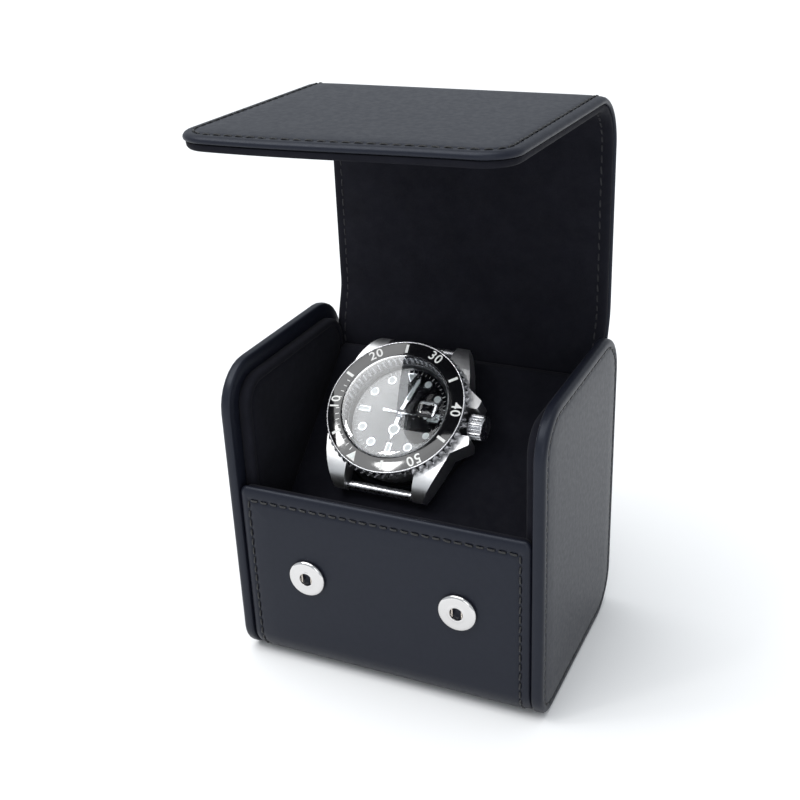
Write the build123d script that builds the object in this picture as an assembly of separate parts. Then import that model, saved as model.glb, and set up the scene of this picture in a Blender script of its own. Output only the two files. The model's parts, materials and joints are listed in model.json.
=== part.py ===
"""Single watch winder box with a snap flap, and the dive watch that it holds.

Units are millimetres. The origin is the centre of the base, +Z is up, -Y is the front (the side with the
snaps) and +X is the right-hand side seen from the front. The box is drawn open: the lid stands up at the
back and the front flap reaches forward from its top.
"""

from build123d import *
import math
import os

os.makedirs("parts", exist_ok=True)

# ---------------------------------------------------------------- driving dimensions

WIDTH = 94.0            # over the two outer side panels
DEPTH = 67.5            # front to back, over the outer side panels
HEIGHT = 92.5           # of the side panels
POCKET_HEIGHT = 57.5    # of the fixed front wall

OUTER_PANEL = 3.3       # thickness of each outer side panel
INNER_PANEL = 3.4       # thickness of each inner side panel
SKIN = 0.7              # artificial leather
BOARD = 1.4             # stiffening board under the leather
LINING = 2.1            # foam-backed microfibre lining
LAYER = SKIN + BOARD    # leather with its board
STRIP = LAYER + LINING  # the whole wall: leather, board and lining

CORNER_R = 13.0         # side panels: both top corners and the lower back one
FOOT_R = 9.0            # side panels: lower front corner
SIDE_GAP = 0.1          # fixed strip to each outer panel
FLAP_GAP = 0.3          # moving flap to each outer panel

LID_SETBACK = 4.0       # how far the opened lid bulges behind the back wall
TOP = 159.5             # upper face of the opened front flap
BEND_R = 16.0           # outside of the bend between lid and front flap
FLAP_REACH = 10.5       # opened front flap, in front of the front wall
FLAP_CORNER_R = 9.0     # free corners of the front flap
CLOSED_GAP = 4.0        # closed flap to the front wall, where the snaps sit

SNAP_X = 23.0           # snaps, either side of the middle
SNAP_Z = 32.0
SNAP_R = 5.6            # socket disc
SNAP_PROUD = 1.6        # socket disc in front of the leather

TILT = 40.5             # slope of the winder face above the horizontal, degrees
WINDER_X = -9.6         # winder axis, off the middle of the box
FACE_TOP_Y = 60.0       # upper edge of the sloping face, behind the front plane
FACE_TOP_Z = 77.6
FACE_LOW_Y = 6.0        # lower edge of the sloping face, behind the front plane
FACE_TOP_TO_AXIS = 22.85  # along the slope
FACE_T = 2.0            # sloping face plate
WATCH_RISE = 13.7       # bezel plane above the sloping face

CUP_R = 20.8
CUP_FLOOR_R = 15.0
CUP_DEPTH = 12.0
CUP_WALL = 1.4
SPINDLE_R = 2.0
RUNNING_FIT = 0.05      # radial clearance of turning fits

MODULE = 0.5            # gear tooth module
SPINDLE_TEETH = 48
IDLER_TEETH = 36
PINION_TEETH = 12
GEAR_T = 2.0

BEZEL_R = 21.7
BEZEL_BORE_R = 16.5
BEZEL_T = 3.2
DIAL_R = 15.0
CASE_R = 19.8
CASE_T = 6.6
LUG_GAP = 21.4
LUG_SPAN = 49.6
CROWN_R = 3.7

# ---------------------------------------------------------------- places worked out from them

FRONT = -DEPTH / 2
BACK = DEPTH / 2
PANEL_X = WIDTH / 2 - OUTER_PANEL            # inner face of an outer panel
INSIDE_X = PANEL_X - INNER_PANEL             # inner face of an inner panel
RECESS = STRIP + 0.3                         # inner panels stand back by this all round
LID_BACK = BACK + LID_SETBACK                # outer face of the opened lid
FLAP_HALF = PANEL_X - FLAP_GAP
STRIP_HALF = PANEL_X - SIDE_GAP
FLAP_FRONT = FRONT - FLAP_REACH
BEND_Y = LID_BACK - BEND_R                   # centre of the bend
BEND_Z = TOP - BEND_R
BACK_TOP = HEIGHT - CORNER_R + 0.2           # the back wall is stiff up to here
LINING_INSET = 0.5                           # the lining stops short of the leather's edges
LINING_HALF = FLAP_HALF - LINING_INSET

# The lid's fold is a stretch of bare leather. Turning the lid about this one line carries the stiff lid
# from upright to level on top of the box, with the front flap CLOSED_GAP in front of the front wall.
CLOSED_TOP = HEIGHT + 0.2
FOLD_SUM = (TOP - STRIP) + (FRONT - CLOSED_GAP)
FOLD_Y = (FOLD_SUM - CLOSED_TOP + LID_BACK) / 2
FOLD_Z = FOLD_SUM - FOLD_Y
LID_LOW = FOLD_SUM - (BACK - CORNER_R)       # the lid is stiff from here up

# The same for the bend between lid and front flap, for a strip that unrolls without stretching.
BEND_NEUTRAL_R = BEND_R - LAYER
BEND_ARC = BEND_NEUTRAL_R * math.pi / 2
BEND_AXIS_Y = LID_BACK - LAYER - BEND_NEUTRAL_R + BEND_ARC / 2
BEND_AXIS_Z = BEND_Z + BEND_ARC / 2

SLOPE = math.radians(TILT)
NORMAL = Vector(0, -math.sin(SLOPE), math.cos(SLOPE))
UPHILL = Vector(0, math.cos(SLOPE), math.sin(SLOPE))
FACE_EDGE = Vector(WINDER_X, FRONT + FACE_TOP_Y, FACE_TOP_Z)
AXIS_POINT = FACE_EDGE - UPHILL * FACE_TOP_TO_AXIS
WINDER = Plane(origin=AXIS_POINT, x_dir=(1, 0, 0), z_dir=NORMAL)
WATCH = Plane(origin=AXIS_POINT + NORMAL * WATCH_RISE, x_dir=(1, 0, 0), z_dir=NORMAL)

GEAR_Z = -17.4                               # lower face of the spindle gear, below the sloping face
IDLER_WHEEL_Z = -15.1                        # lower face of the idler's large wheel
PLATE_Z = -20.0                              # lower face of the gear plate
PLATE_T = 2.0
IDLER_AT = (0, -MODULE * (SPINDLE_TEETH + PINION_TEETH) / 2)
MOTOR_AT = (0, IDLER_AT[1] - MODULE * (IDLER_TEETH + PINION_TEETH) / 2)


# ---------------------------------------------------------------- helpers

def save(shape, name):
    """Write one node's solids to parts/."""
    solids = shape.solids()
    part = solids[0] if len(solids) == 1 else Compound(children=list(solids))
    part.label = name
    export_step(part, f"parts/{name}.step")


def across(sketch, half_width, centre_x=0.0):
    """Extrude a sketch drawn in (Y, Z) sideways, half_width each way from centre_x."""
    return Pos(centre_x, 0, 0) * extrude(Plane.YZ * sketch, amount=half_width, both=True)


def block(low, high):
    """Box between two corners."""
    size = [b - a for a, b in zip(low, high)]
    middle = [(a + b) / 2 for a, b in zip(low, high)]
    return Pos(*middle) * Box(*size)


def area(low, high):
    """Rectangle between two corners of a sketch."""
    return Pos((low[0] + high[0]) / 2, (low[1] + high[1]) / 2) * Rectangle(high[0] - low[0], high[1] - low[1])


def disc(radius, low, high, at=(0, 0)):
    """Round disc standing on Z, from low to high."""
    standing = (Align.CENTER, Align.CENTER, Align.MIN)
    return Pos(at[0], at[1], low) * Cylinder(radius, high - low, align=standing)


def ring(outer, inner, low, high, at=(0, 0)):
    """Round ring standing on Z, from low to high."""
    return disc(outer, low, high, at) - disc(inner, low - 1, high + 1, at)


def turned(points):
    """Solid of revolution about Z from (radius, z) points."""
    return revolve(Plane.XZ * make_face(Polyline(*points, close=True)), Axis.Z)


def side_outline(inset):
    """Side view of the box in (Y, Z), moved in by inset on every side."""
    low, high = FRONT + inset, BACK - inset
    corners = [(low, inset), (high, inset), (high, HEIGHT - inset), (low, HEIGHT - inset)]
    radii = [FOOT_R - inset, CORNER_R - inset, CORNER_R - inset, CORNER_R - inset]
    return make_face(FilletPolyline(*corners, radius=radii, close=True))


def wall_band(start, end):
    """The strip round front, base and back in side view, from depth start to depth end below its outside."""
    band = side_outline(start) - side_outline(end)
    front_part = area((FRONT, 0), (0, POCKET_HEIGHT))
    back_part = area((0, 0), (BACK, BACK_TOP))
    return band & (front_part + back_part)


def gear(teeth, thickness, bore_r):
    """Spur gear with involute flanks, thinned for backlash, standing on z = 0."""
    pressure = math.radians(20)
    pitch_r = MODULE * teeth / 2
    base_r = pitch_r * math.cos(pressure)
    tip_r = pitch_r + 0.85 * MODULE
    root_r = pitch_r - 1.2 * MODULE
    backlash = 0.06 * MODULE / pitch_r
    half_angle = math.pi / (2 * teeth) - backlash + math.tan(pressure) - pressure
    start_r = max(base_r, root_r)
    flank = []
    for step in range(5):
        radius = start_r + (tip_r - start_r) * step / 4
        roll = math.acos(min(1.0, base_r / radius))
        flank.append((radius, half_angle - (math.tan(roll) - roll)))
    if root_r < base_r:
        flank.insert(0, (root_r, flank[0][1]))
    points = []
    for tooth in range(teeth):
        middle = 2 * math.pi * tooth / teeth
        points += [(r * math.cos(middle - a), r * math.sin(middle - a)) for r, a in flank]
        points += [(r * math.cos(middle + a), r * math.sin(middle + a)) for r, a in reversed(flank)]
    blank = extrude(make_face(Polyline(*points, close=True)), amount=thickness)
    return blank - disc(bore_r, -1, thickness + 1)


# ---------------------------------------------------------------- case: side panels

def side_panel(inset, low_x, thickness, edge_r):
    """One rounded side panel, from low_x to low_x + thickness."""
    panel = across(side_outline(inset), thickness / 2, low_x + thickness / 2)
    rims = panel.faces().sort_by(Axis.X)
    return fillet(rims[0].edges() + rims[-1].edges(), edge_r)


save(side_panel(0, -WIDTH / 2, OUTER_PANEL, 1.1), "outer_panel_left")
save(side_panel(0, PANEL_X, OUTER_PANEL, 1.1), "outer_panel_right")
save(side_panel(RECESS, -PANEL_X, INNER_PANEL, 1.0), "inner_panel_left")
save(side_panel(RECESS, INSIDE_X, INNER_PANEL, 1.0), "inner_panel_right")

# ---------------------------------------------------------------- case: front, base and back walls

SOCKET_NECK_R = 2.6
INLET_X, INLET_Z, INLET_R = 16.0, 22.0, 3.8
SWITCH_X, SWITCH_Z = -16.0, 22.0
SWITCH_HALF = (7.0, 4.5)


def snap_holes(radius, low_y, high_y):
    """Two round holes through the front wall, one at each snap."""
    holes = [Pos(x, (low_y + high_y) / 2, SNAP_Z) * Rot(90, 0, 0) * Cylinder(radius, high_y - low_y)
             for x in (-SNAP_X, SNAP_X)]
    return holes[0] + holes[1]


def back_holes(margin=0.0):
    """The two holes in the back wall, for the power inlet and the switch."""
    reach = 10
    inlet = Pos(INLET_X, BACK, INLET_Z) * Rot(90, 0, 0) * Cylinder(INLET_R + margin, reach)
    switch = block((SWITCH_X - SWITCH_HALF[0] - margin, BACK - reach / 2, SWITCH_Z - SWITCH_HALF[1] - margin),
                   (SWITCH_X + SWITCH_HALF[0] + margin, BACK + reach / 2, SWITCH_Z + SWITCH_HALF[1] + margin))
    return inlet + switch


def board_piece(low, high):
    """Board between two corners of the side view, cut for the snaps and the back holes."""
    sketch = wall_band(SKIN, LAYER) & area(low, high)
    body = across(sketch, STRIP_HALF - SKIN)
    return body - snap_holes(SOCKET_NECK_R, FRONT - 1, FRONT + LAYER + 1) - back_holes()


leather = across(wall_band(0, SKIN), STRIP_HALF)
front_edge = block((-STRIP_HALF, FRONT + SKIN, POCKET_HEIGHT - SKIN),
                   (STRIP_HALF, FRONT + LAYER, POCKET_HEIGHT))
leather = leather + front_edge - snap_holes(SOCKET_NECK_R, FRONT - 1, FRONT + LAYER + 1) - back_holes()
save(leather, "wrap_leather")
save(board_piece((FRONT, FOOT_R), (0, POCKET_HEIGHT - SKIN)), "front_board")
save(board_piece((0, CORNER_R), (BACK, BACK_TOP)), "back_board")
floor_area = area((FRONT, 0), (0, FOOT_R)) + area((0, 0), (BACK, CORNER_R))
save(across(wall_band(SKIN, LAYER) & floor_area, STRIP_HALF - SKIN), "base_board")

BACKING_R = 4.6
BACKING_T = 0.5
front_lining = block((-LINING_HALF, FRONT + LAYER, FOOT_R), (LINING_HALF, FRONT + STRIP, POCKET_HEIGHT - 0.3))
front_lining = fillet(front_lining.edges().filter_by(Axis.X).group_by(Axis.Z)[-1], 0.9)
save(front_lining - snap_holes(BACKING_R, FRONT + LAYER - 1, FRONT + LAYER + BACKING_T), "front_lining")
save(across(wall_band(LAYER, STRIP) & floor_area, LINING_HALF), "base_lining")
back_lining = block((-LINING_HALF, BACK - STRIP, CORNER_R), (LINING_HALF, BACK - LAYER, BACK_TOP))
save(back_lining - back_holes(0.2), "back_lining")

# ---------------------------------------------------------------- press snaps on the front wall

POST_HOLE_R = 1.9
SPRING_GROOVE_R = 2.5
SPRING_WIRE_R = 0.25
SPRING_AT = 1.45        # each spring wire, beside the centre of its socket


def at_snaps(shape, face_y):
    """Copy a shape drawn on Z to both snaps, with Z turned to face forward and z = 0 at face_y."""
    copies = [Pos(x, face_y, SNAP_Z) * Rot(90, 0, 0) * shape for x in (-SNAP_X, SNAP_X)]
    return copies[0] + copies[1]


socket = disc(SNAP_R, 0, SNAP_PROUD) + disc(SOCKET_NECK_R, -LAYER, 0)
socket = fillet(socket.edges().filter_by(GeomType.CIRCLE).group_by(Axis.Z)[-1], 0.6)
socket = socket - disc(POST_HOLE_R, -LAYER - 1, SNAP_PROUD + 1)
socket = socket - disc(SPRING_GROOVE_R, 0.55, 1.15)
save(at_snaps(socket, FRONT), "snap_sockets")
wire_half = math.sqrt((SPRING_GROOVE_R - 0.1) ** 2 - (SPRING_AT + SPRING_WIRE_R) ** 2)
wires = [Pos(x, 0, 0.85) * Rot(90, 0, 0) * Cylinder(SPRING_WIRE_R, 2 * wire_half)
         for x in (-SPRING_AT, SPRING_AT)]
save(at_snaps(wires[0] + wires[1], FRONT), "snap_springs")
save(at_snaps(ring(BACKING_R - 0.2, POST_HOLE_R, -LAYER - BACKING_T, -LAYER), FRONT), "snap_socket_backs")

# ---------------------------------------------------------------- lid and front flap

def flap_plan(inset):
    """The opened front flap seen from above, moved in by inset at its free edges."""
    half, front = FLAP_HALF - inset, FLAP_FRONT + inset
    corners = [(-half, BEND_Y), (-half, front), (half, front), (half, BEND_Y)]
    outline = FilletPolyline(*corners, radius=FLAP_CORNER_R - inset, close=False)
    return make_face(outline + Line(corners[-1], corners[0]))


def flap_layer(inset, low, high):
    """Part of the front flap's thickness, between two heights."""
    return Pos(0, 0, low) * extrude(flap_plan(inset), amount=high - low)


lid_skin = block((-FLAP_HALF, LID_BACK - SKIN, LID_LOW), (FLAP_HALF, LID_BACK, BEND_Z))
lid_rims = [block((x, LID_BACK - LAYER, LID_LOW), (x + SKIN, LID_BACK - SKIN, BEND_Z))
            for x in (-FLAP_HALF, FLAP_HALF - SKIN)]
save(lid_skin + lid_rims[0] + lid_rims[1], "lid_leather")
BOARD_HALF = FLAP_HALF - SKIN
save(block((-BOARD_HALF, LID_BACK - LAYER, LID_LOW), (BOARD_HALF, LID_BACK - SKIN, BEND_Z)), "lid_board")
save(block((-LINING_HALF, LID_BACK - STRIP, LID_LOW), (LINING_HALF, LID_BACK - LAYER, BEND_Z)), "lid_lining")

STUD_Y = FOLD_Y - (FOLD_Z - SNAP_Z)         # where the studs lie with the flap open
FLAP_UNDER = TOP - STRIP


def at_studs(shape, z):
    """Copy a shape drawn on Z to both stud places under the opened flap."""
    return Pos(-SNAP_X, STUD_Y, z) * shape + Pos(SNAP_X, STUD_Y, z) * shape


flap_leather = flap_layer(0, TOP - LAYER, TOP) - flap_layer(SKIN, TOP - LAYER - 1, TOP - SKIN)
save(flap_leather, "flap_leather")
save(flap_layer(SKIN, TOP - LAYER, TOP - SKIN), "flap_board")
flap_lining = flap_layer(LINING_INSET, FLAP_UNDER, TOP - LAYER)
flap_lining = flap_lining - at_studs(disc(BACKING_R, -BACKING_T, 1), TOP - LAYER)
save(flap_lining - at_studs(disc(SOCKET_NECK_R, -1, STRIP), FLAP_UNDER), "flap_lining")
STUD_R = 4.0
STUD_T = 1.2
STUD_NECK_R = 1.1
STUD_HEAD_R = 1.5
stud = disc(STUD_R, -STUD_T, 0) + disc(SOCKET_NECK_R, 0, LINING - BACKING_T)
stud = stud + disc(STUD_NECK_R, -4.2, -STUD_T) + disc(STUD_HEAD_R, -4.6, -3.5)
save(at_studs(stud, FLAP_UNDER), "snap_studs")
save(at_studs(disc(BACKING_R - 0.2, -BACKING_T, 0), TOP - LAYER), "snap_stud_backs")

# The two stretches of bare leather and lining that fold.


def fold_band(start, end):
    """The lid's fold in side view, from depth start to depth end below its outside."""
    def edge(depth):
        low, high = (BACK - depth, BACK_TOP), (LID_BACK - depth, LID_LOW)
        return Spline(low, high, tangents=[(0, 1), (0, 1)])
    outside, inside = edge(start), edge(end)
    ends = [Line(outside @ 1, inside @ 1), Line(inside @ 0, outside @ 0)]
    return make_face([outside, ends[0], inside, ends[1]])


def bend_band(start, end):
    """A quarter ring in side view for the bend between lid and flap."""
    quarter = area((BEND_Y, BEND_Z), (BEND_Y + BEND_R + 1, BEND_Z + BEND_R + 1))
    return (Pos(BEND_Y, BEND_Z) * (Circle(BEND_R - start) - Circle(BEND_R - end))) & quarter


save(across(fold_band(0, LAYER), FLAP_HALF), "lid_fold_leather")
save(across(fold_band(LAYER, STRIP), LINING_HALF), "lid_fold_lining")
save(across(bend_band(0, LAYER), FLAP_HALF), "flap_bend_leather")
save(across(bend_band(LAYER, STRIP), LINING_HALF), "flap_bend_lining")

# ---------------------------------------------------------------- winder: sloping face and its supports

FLOOR_Z = STRIP
FACE_HALF = INSIDE_X - 0.3
HOLE_R = CUP_R + 0.6
LEDGE_BACK = BACK - STRIP - 0.3


def face_point(y_behind_front, drop=0.0):
    """Point of the side view on the sloping face, or square below it by drop."""
    back_off = FACE_TOP_Y - y_behind_front
    y, z = FRONT + y_behind_front, FACE_TOP_Z - back_off * math.tan(SLOPE)
    return (y, z - drop / math.cos(SLOPE))


face = make_face(Polyline(face_point(FACE_LOW_Y), face_point(FACE_TOP_Y), (LEDGE_BACK, FACE_TOP_Z),
                          (LEDGE_BACK, FACE_TOP_Z - FACE_T), (FRONT + FACE_TOP_Y + 0.6, FACE_TOP_Z - FACE_T),
                          face_point(FACE_LOW_Y, FACE_T), close=True))
face_plate = across(face, FACE_HALF) - WINDER.location * disc(HOLE_R, -10, 10)
save(face_plate, "face_plate")
cheek_drop = FACE_T + 0.05
cheek = make_face(Polyline((FRONT + FACE_LOW_Y, FLOOR_Z), (LEDGE_BACK, FLOOR_Z),
                           (LEDGE_BACK, FACE_TOP_Z - cheek_drop), (FRONT + FACE_TOP_Y, FACE_TOP_Z - 2.7),
                           face_point(FACE_LOW_Y, cheek_drop), close=True)) & side_outline(STRIP + 0.05)
CHEEK_T = 2.0
save(across(cheek, CHEEK_T / 2, -FACE_HALF + CHEEK_T / 2), "cheek_left")
save(across(cheek, CHEEK_T / 2, FACE_HALF - CHEEK_T / 2), "cheek_right")

# ---------------------------------------------------------------- winder: cup, spindle and gears

cup_profile = [(CUP_R, 0.4), (CUP_R, -5.0), (CUP_FLOOR_R, -CUP_DEPTH), (4.4, -CUP_DEPTH),
               (4.4, GEAR_Z + GEAR_T + 0.2), (SPINDLE_R, GEAR_Z + GEAR_T + 0.2),
               (SPINDLE_R, -CUP_DEPTH + CUP_WALL), (CUP_FLOOR_R - CUP_WALL, -CUP_DEPTH + CUP_WALL),
               (CUP_R - CUP_WALL, -4.6), (CUP_R - CUP_WALL, 0.4)]
save(WINDER.location * turned(cup_profile), "cup")
save(WINDER.location * disc(SPINDLE_R, PLATE_Z - 3.0, -CUP_DEPTH + CUP_WALL), "spindle")
spindle_gear = Pos(0, 0, GEAR_Z) * gear(SPINDLE_TEETH, GEAR_T, SPINDLE_R)
save(WINDER.location * spindle_gear, "spindle_gear")
CLIP_Z = PLATE_Z - 2.4
clip = ring(3.6, SPINDLE_R, CLIP_Z, CLIP_Z + 0.6) - block((-1.2, 0, CLIP_Z - 1), (1.2, 5, CLIP_Z + 2))
save(WINDER.location * clip, "spindle_clip")

IDLER_PIN_R = 1.2
HALF_TOOTH = 180 / PINION_TEETH
idler_pinion = Rot(0, 0, 90) * gear(PINION_TEETH, IDLER_WHEEL_Z - GEAR_Z, IDLER_PIN_R + RUNNING_FIT)
idler_pinion = Rot(0, 0, HALF_TOOTH) * idler_pinion
idler_wheel = Rot(0, 0, -90) * gear(IDLER_TEETH, GEAR_T, IDLER_PIN_R + RUNNING_FIT)
idler_wheel = Pos(0, 0, IDLER_WHEEL_Z - GEAR_Z) * idler_wheel
save(WINDER.location * Pos(*IDLER_AT, GEAR_Z) * (idler_pinion + idler_wheel), "idler_gear")
save(WINDER.location * disc(IDLER_PIN_R, PLATE_Z, IDLER_WHEEL_Z + GEAR_T + 0.6, IDLER_AT), "idler_pin")

MOTOR_SHAFT_R = 0.8
MOTOR_R = 10.0
MOTOR_LENGTH = 14.0
MOTOR_BOSS_R = 3.0
motor_pinion = Rot(0, 0, 90 + HALF_TOOTH) * gear(PINION_TEETH, GEAR_T, MOTOR_SHAFT_R - 0.3)
motor_pinion = Pos(0, 0, IDLER_WHEEL_Z) * motor_pinion
motor_pinion = motor_pinion + disc(MOTOR_SHAFT_R, PLATE_Z - 2, IDLER_WHEEL_Z + GEAR_T)
save(WINDER.location * Pos(*MOTOR_AT, 0) * motor_pinion, "motor_pinion")
motor = disc(MOTOR_R, PLATE_Z - MOTOR_LENGTH, PLATE_Z) + disc(MOTOR_BOSS_R, PLATE_Z, PLATE_Z + 1.2)
motor = motor - disc(MOTOR_SHAFT_R + RUNNING_FIT, PLATE_Z - 2.2, PLATE_Z + 3)
motor = motor + disc(MOTOR_R * 0.6, PLATE_Z - MOTOR_LENGTH - 1.5, PLATE_Z - MOTOR_LENGTH)
save(WINDER.location * Pos(*MOTOR_AT, 0) * motor, "gear_motor")

BUSH_R = 3.4
PLATE_TOP_Y = 8.0
PLATE_LOW_Y = MOTOR_AT[1] - 7.0
plate = block((-FACE_HALF + CHEEK_T - WINDER_X, PLATE_LOW_Y, PLATE_Z),
              (FACE_HALF - CHEEK_T - WINDER_X, PLATE_TOP_Y, PLATE_Z + PLATE_T))
for hole_r, place in ((BUSH_R, (0, 0)), (MOTOR_BOSS_R, MOTOR_AT), (IDLER_PIN_R, IDLER_AT)):
    plate = plate - disc(hole_r, PLATE_Z - 1, PLATE_Z + 5, place)
SCREW_R = 1.0
SCREW_AT = [(x, MOTOR_AT[1] - 1.5) for x in (-7.0, 7.0)]
for place in SCREW_AT:
    plate = plate - disc(SCREW_R, PLATE_Z - 1, PLATE_Z + 5, place)
save(WINDER.location * plate, "gear_plate")
save(WINDER.location * ring(BUSH_R, SPINDLE_R + RUNNING_FIT, PLATE_Z - 1.6, PLATE_Z + PLATE_T + 0.3), "spindle_bush")
screws = [disc(2.0, PLATE_Z + PLATE_T, PLATE_Z + PLATE_T + 1.1, p) + disc(SCREW_R, PLATE_Z, PLATE_Z + PLATE_T, p)
          for p in SCREW_AT]
save(WINDER.location * (screws[0] + screws[1]), "motor_screws")

# ---------------------------------------------------------------- power: inlet, switch and circuit board

inlet = ring(INLET_R + 1.6, 2.75, 0, 1.0) + ring(INLET_R, 2.75, -9.0, 0)
inlet = inlet + disc(INLET_R, -10.0, -9.0) + disc(1.0, -9.0, -0.6)
BACKWARD = Plane(origin=(INLET_X, BACK, INLET_Z), x_dir=(-1, 0, 0), z_dir=(0, 1, 0))
save(BACKWARD.location * inlet, "power_inlet")
ROCKER_R = 5.2
ROCKER_T = 6.4
ROCKER_DROP = 0.6       # rocking axis, below the back wall's outside
ROCKER_TILT = 12.0      # either way from level
switch_low, switch_high = SWITCH_HALF[0], SWITCH_HALF[1]
housing = block((-switch_low, -switch_high, -9.0), (switch_low, switch_high, 0))
housing = housing + block((-switch_low - 1.2, -switch_high - 1.2, 0), (switch_low + 1.2, switch_high + 1.2, 0.9))
housing = housing - block((-switch_low + 1.2, -switch_high + 1.2, -7.5), (switch_low - 1.2, switch_high - 1.2, 5))
SWITCH = Plane(origin=(SWITCH_X, BACK, SWITCH_Z), x_dir=(-1, 0, 0), z_dir=(0, 1, 0))
save(SWITCH.location * housing, "switch_housing")
rocker_side = make_face(Polyline((-6, -2), (6, -2), (6, 2.8), (0, 1.7), (-6, 2.8), close=True)) & Circle(ROCKER_R)
rocker = extrude(Plane.XZ * rocker_side, amount=ROCKER_T / 2, both=True)
save(SWITCH.location * Pos(0, 0, -ROCKER_DROP) * Rot(0, -ROCKER_TILT, 0) * rocker, "switch_rocker")
CIRCUIT_BOARD_Y = BACK - 10.0
save(block((INLET_X - 11, CIRCUIT_BOARD_Y - 1.6, STRIP + 2), (INLET_X + 11, CIRCUIT_BOARD_Y, INLET_Z + 14)),
     "circuit_board")

# ---------------------------------------------------------------- cushion

CUSHION_TOP = 1.8
cushion = turned([(0, -10.2), (13.0, -10.2), (18.0, -4.6), (18.6, -2.0), (17.6, 0.4), (14.5, CUSHION_TOP),
                  (0, CUSHION_TOP)])
save(WINDER.location * cushion, "cushion")

# ---------------------------------------------------------------- watch

BEZEL_LOW = -BEZEL_T
CASE_TOP = BEZEL_LOW - 0.1
CASE_LOW = CASE_TOP - CASE_T
BACK_LOW = CASE_LOW - 1.6
DIAL_Z = -3.1
CRYSTAL_LOW = CASE_TOP + 1.7
SCALLOPS = 60
SCALLOP_R = 0.75

INSERT_R = BEZEL_R - 1.1
bezel = turned([(BEZEL_BORE_R, BEZEL_LOW), (BEZEL_R, BEZEL_LOW), (BEZEL_R, -1.7), (BEZEL_R - 0.6, -0.5),
                (BEZEL_R - 0.9, -0.1), (INSERT_R, -0.1), (INSERT_R, -0.7), (BEZEL_BORE_R, -0.35)])
for notch in range(SCALLOPS):
    turn = Rot(0, 0, notch * 360 / SCALLOPS)
    bezel = bezel - turn * disc(SCALLOP_R, BEZEL_LOW - 1, 1, (BEZEL_R + 0.3, 0))
save(WATCH.location * bezel, "watch_bezel")
insert = turned([(BEZEL_BORE_R, -0.35), (INSERT_R, -0.7), (INSERT_R, -0.25), (BEZEL_BORE_R, 0.1)])
save(WATCH.location * insert, "watch_bezel_insert")

half = LUG_SPAN / 2
lug_outer = LUG_GAP / 2 + 3.3
flank = ThreePointArc((lug_outer, half), (20.4, 0), (lug_outer, -half))
other = ThreePointArc((-lug_outer, -half), (-20.4, 0), (-lug_outer, half))
plan = make_face([flank, Line((lug_outer, -half), (-lug_outer, -half)), other,
                  Line((-lug_outer, half), (lug_outer, half))])
guard_corners = [(17.0, 4.3), (23.5, 4.3), (24.2, 6.9), (20.6, 9.4), (17.0, 12.0)]
guard = make_face(FilletPolyline(*guard_corners, radius=[0.1, 0.5, 0.6, 3.0, 0.1], close=True))
plan = plan + guard + mirror(guard, about=Plane.XZ)
plan = plan - area((20.2, -4.3), (30, 4.3))
for side in (-1, 1):
    plan = plan - Pos(0, side * 24.0) * Rectangle(LUG_GAP, 12.0)
plan = plan + Circle(CASE_R)
side_view = make_face([Line((-16, CASE_TOP), (16, CASE_TOP)),
                       Spline((16, CASE_TOP), (half, -8.6), tangents=[(1, -0.15), (0.35, -1)]),
                       Line((half, -8.6), (half - 0.6, BACK_LOW + 0.4)),
                       Spline((half - 0.6, BACK_LOW + 0.4), (16, CASE_LOW), tangents=[(-1, 0.05), (-1, 0)]),
                       Line((16, CASE_LOW), (-16, CASE_LOW)),
                       Spline((-16, CASE_LOW), (-half + 0.6, BACK_LOW + 0.4), tangents=[(-1, 0), (-1, -0.05)]),
                       Line((-half + 0.6, BACK_LOW + 0.4), (-half, -8.6)),
                       Spline((-half, -8.6), (-16, CASE_TOP), tangents=[(0.35, 1), (1, 0.15)])])
case_body = (Pos(0, 0, -20) * extrude(plan, amount=30)) & across(side_view, 40)
case_body = case_body - disc(DIAL_R + 0.95, CASE_LOW + 0.8, 0) - disc(13.2, CASE_LOW - 1, 0)
STEM_R = 1.0
STEM_Z = -6.6
BAR_AT = (half - 1.9, -9.6)
BAR_R = 1.4
stem_bore = Pos(18, 0, STEM_Z) * Rot(0, 90, 0) * Cylinder(STEM_R + RUNNING_FIT, 14)
case_body = case_body - stem_bore
save(WATCH.location * case_body, "watch_case")
save(WATCH.location * (disc(15.9, BACK_LOW, CASE_LOW) + disc(13.1, CASE_LOW, CASE_LOW + 0.8)), "watch_case_back")
save(WATCH.location * ring(DIAL_R + 0.9, DIAL_R - 0.4, DIAL_Z, CRYSTAL_LOW), "watch_rehaut")
save(WATCH.location * ring(DIAL_R, 1.15, DIAL_Z - 0.4, DIAL_Z), "watch_dial")
crystal = disc(BEZEL_BORE_R - 0.1, CRYSTAL_LOW, 0.5)
crystal = chamfer(crystal.edges().filter_by(GeomType.CIRCLE).group_by(Axis.Z)[-1], 0.3)
save(WATCH.location * crystal, "watch_crystal")
lens = Pos(10.6, 0, 0.5) * extrude(RectangleRounded(5.6, 4.8, 1.2), amount=0.8)
save(WATCH.location * lens, "watch_date_lens")
movement = ring(12.9, 1.15, CASE_LOW + 0.9, DIAL_Z - 0.5)
stem_slot = Pos(13, 0, STEM_Z) * Rot(0, 90, 0) * Cylinder(STEM_R + 0.1, 8)
save(WATCH.location * (movement - stem_slot), "watch_movement")


def spring_bar(side):
    """One spring bar between two lugs, on the 12 or 6 o'clock side."""
    bar = Cylinder(BAR_R, LUG_GAP - 1.6) + Cylinder(BAR_R * 0.6, LUG_GAP)
    return Pos(0, side * BAR_AT[0], BAR_AT[1]) * Rot(0, 90, 0) * bar


save(WATCH.location * (spring_bar(-1) + spring_bar(1)), "watch_spring_bars")

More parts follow.
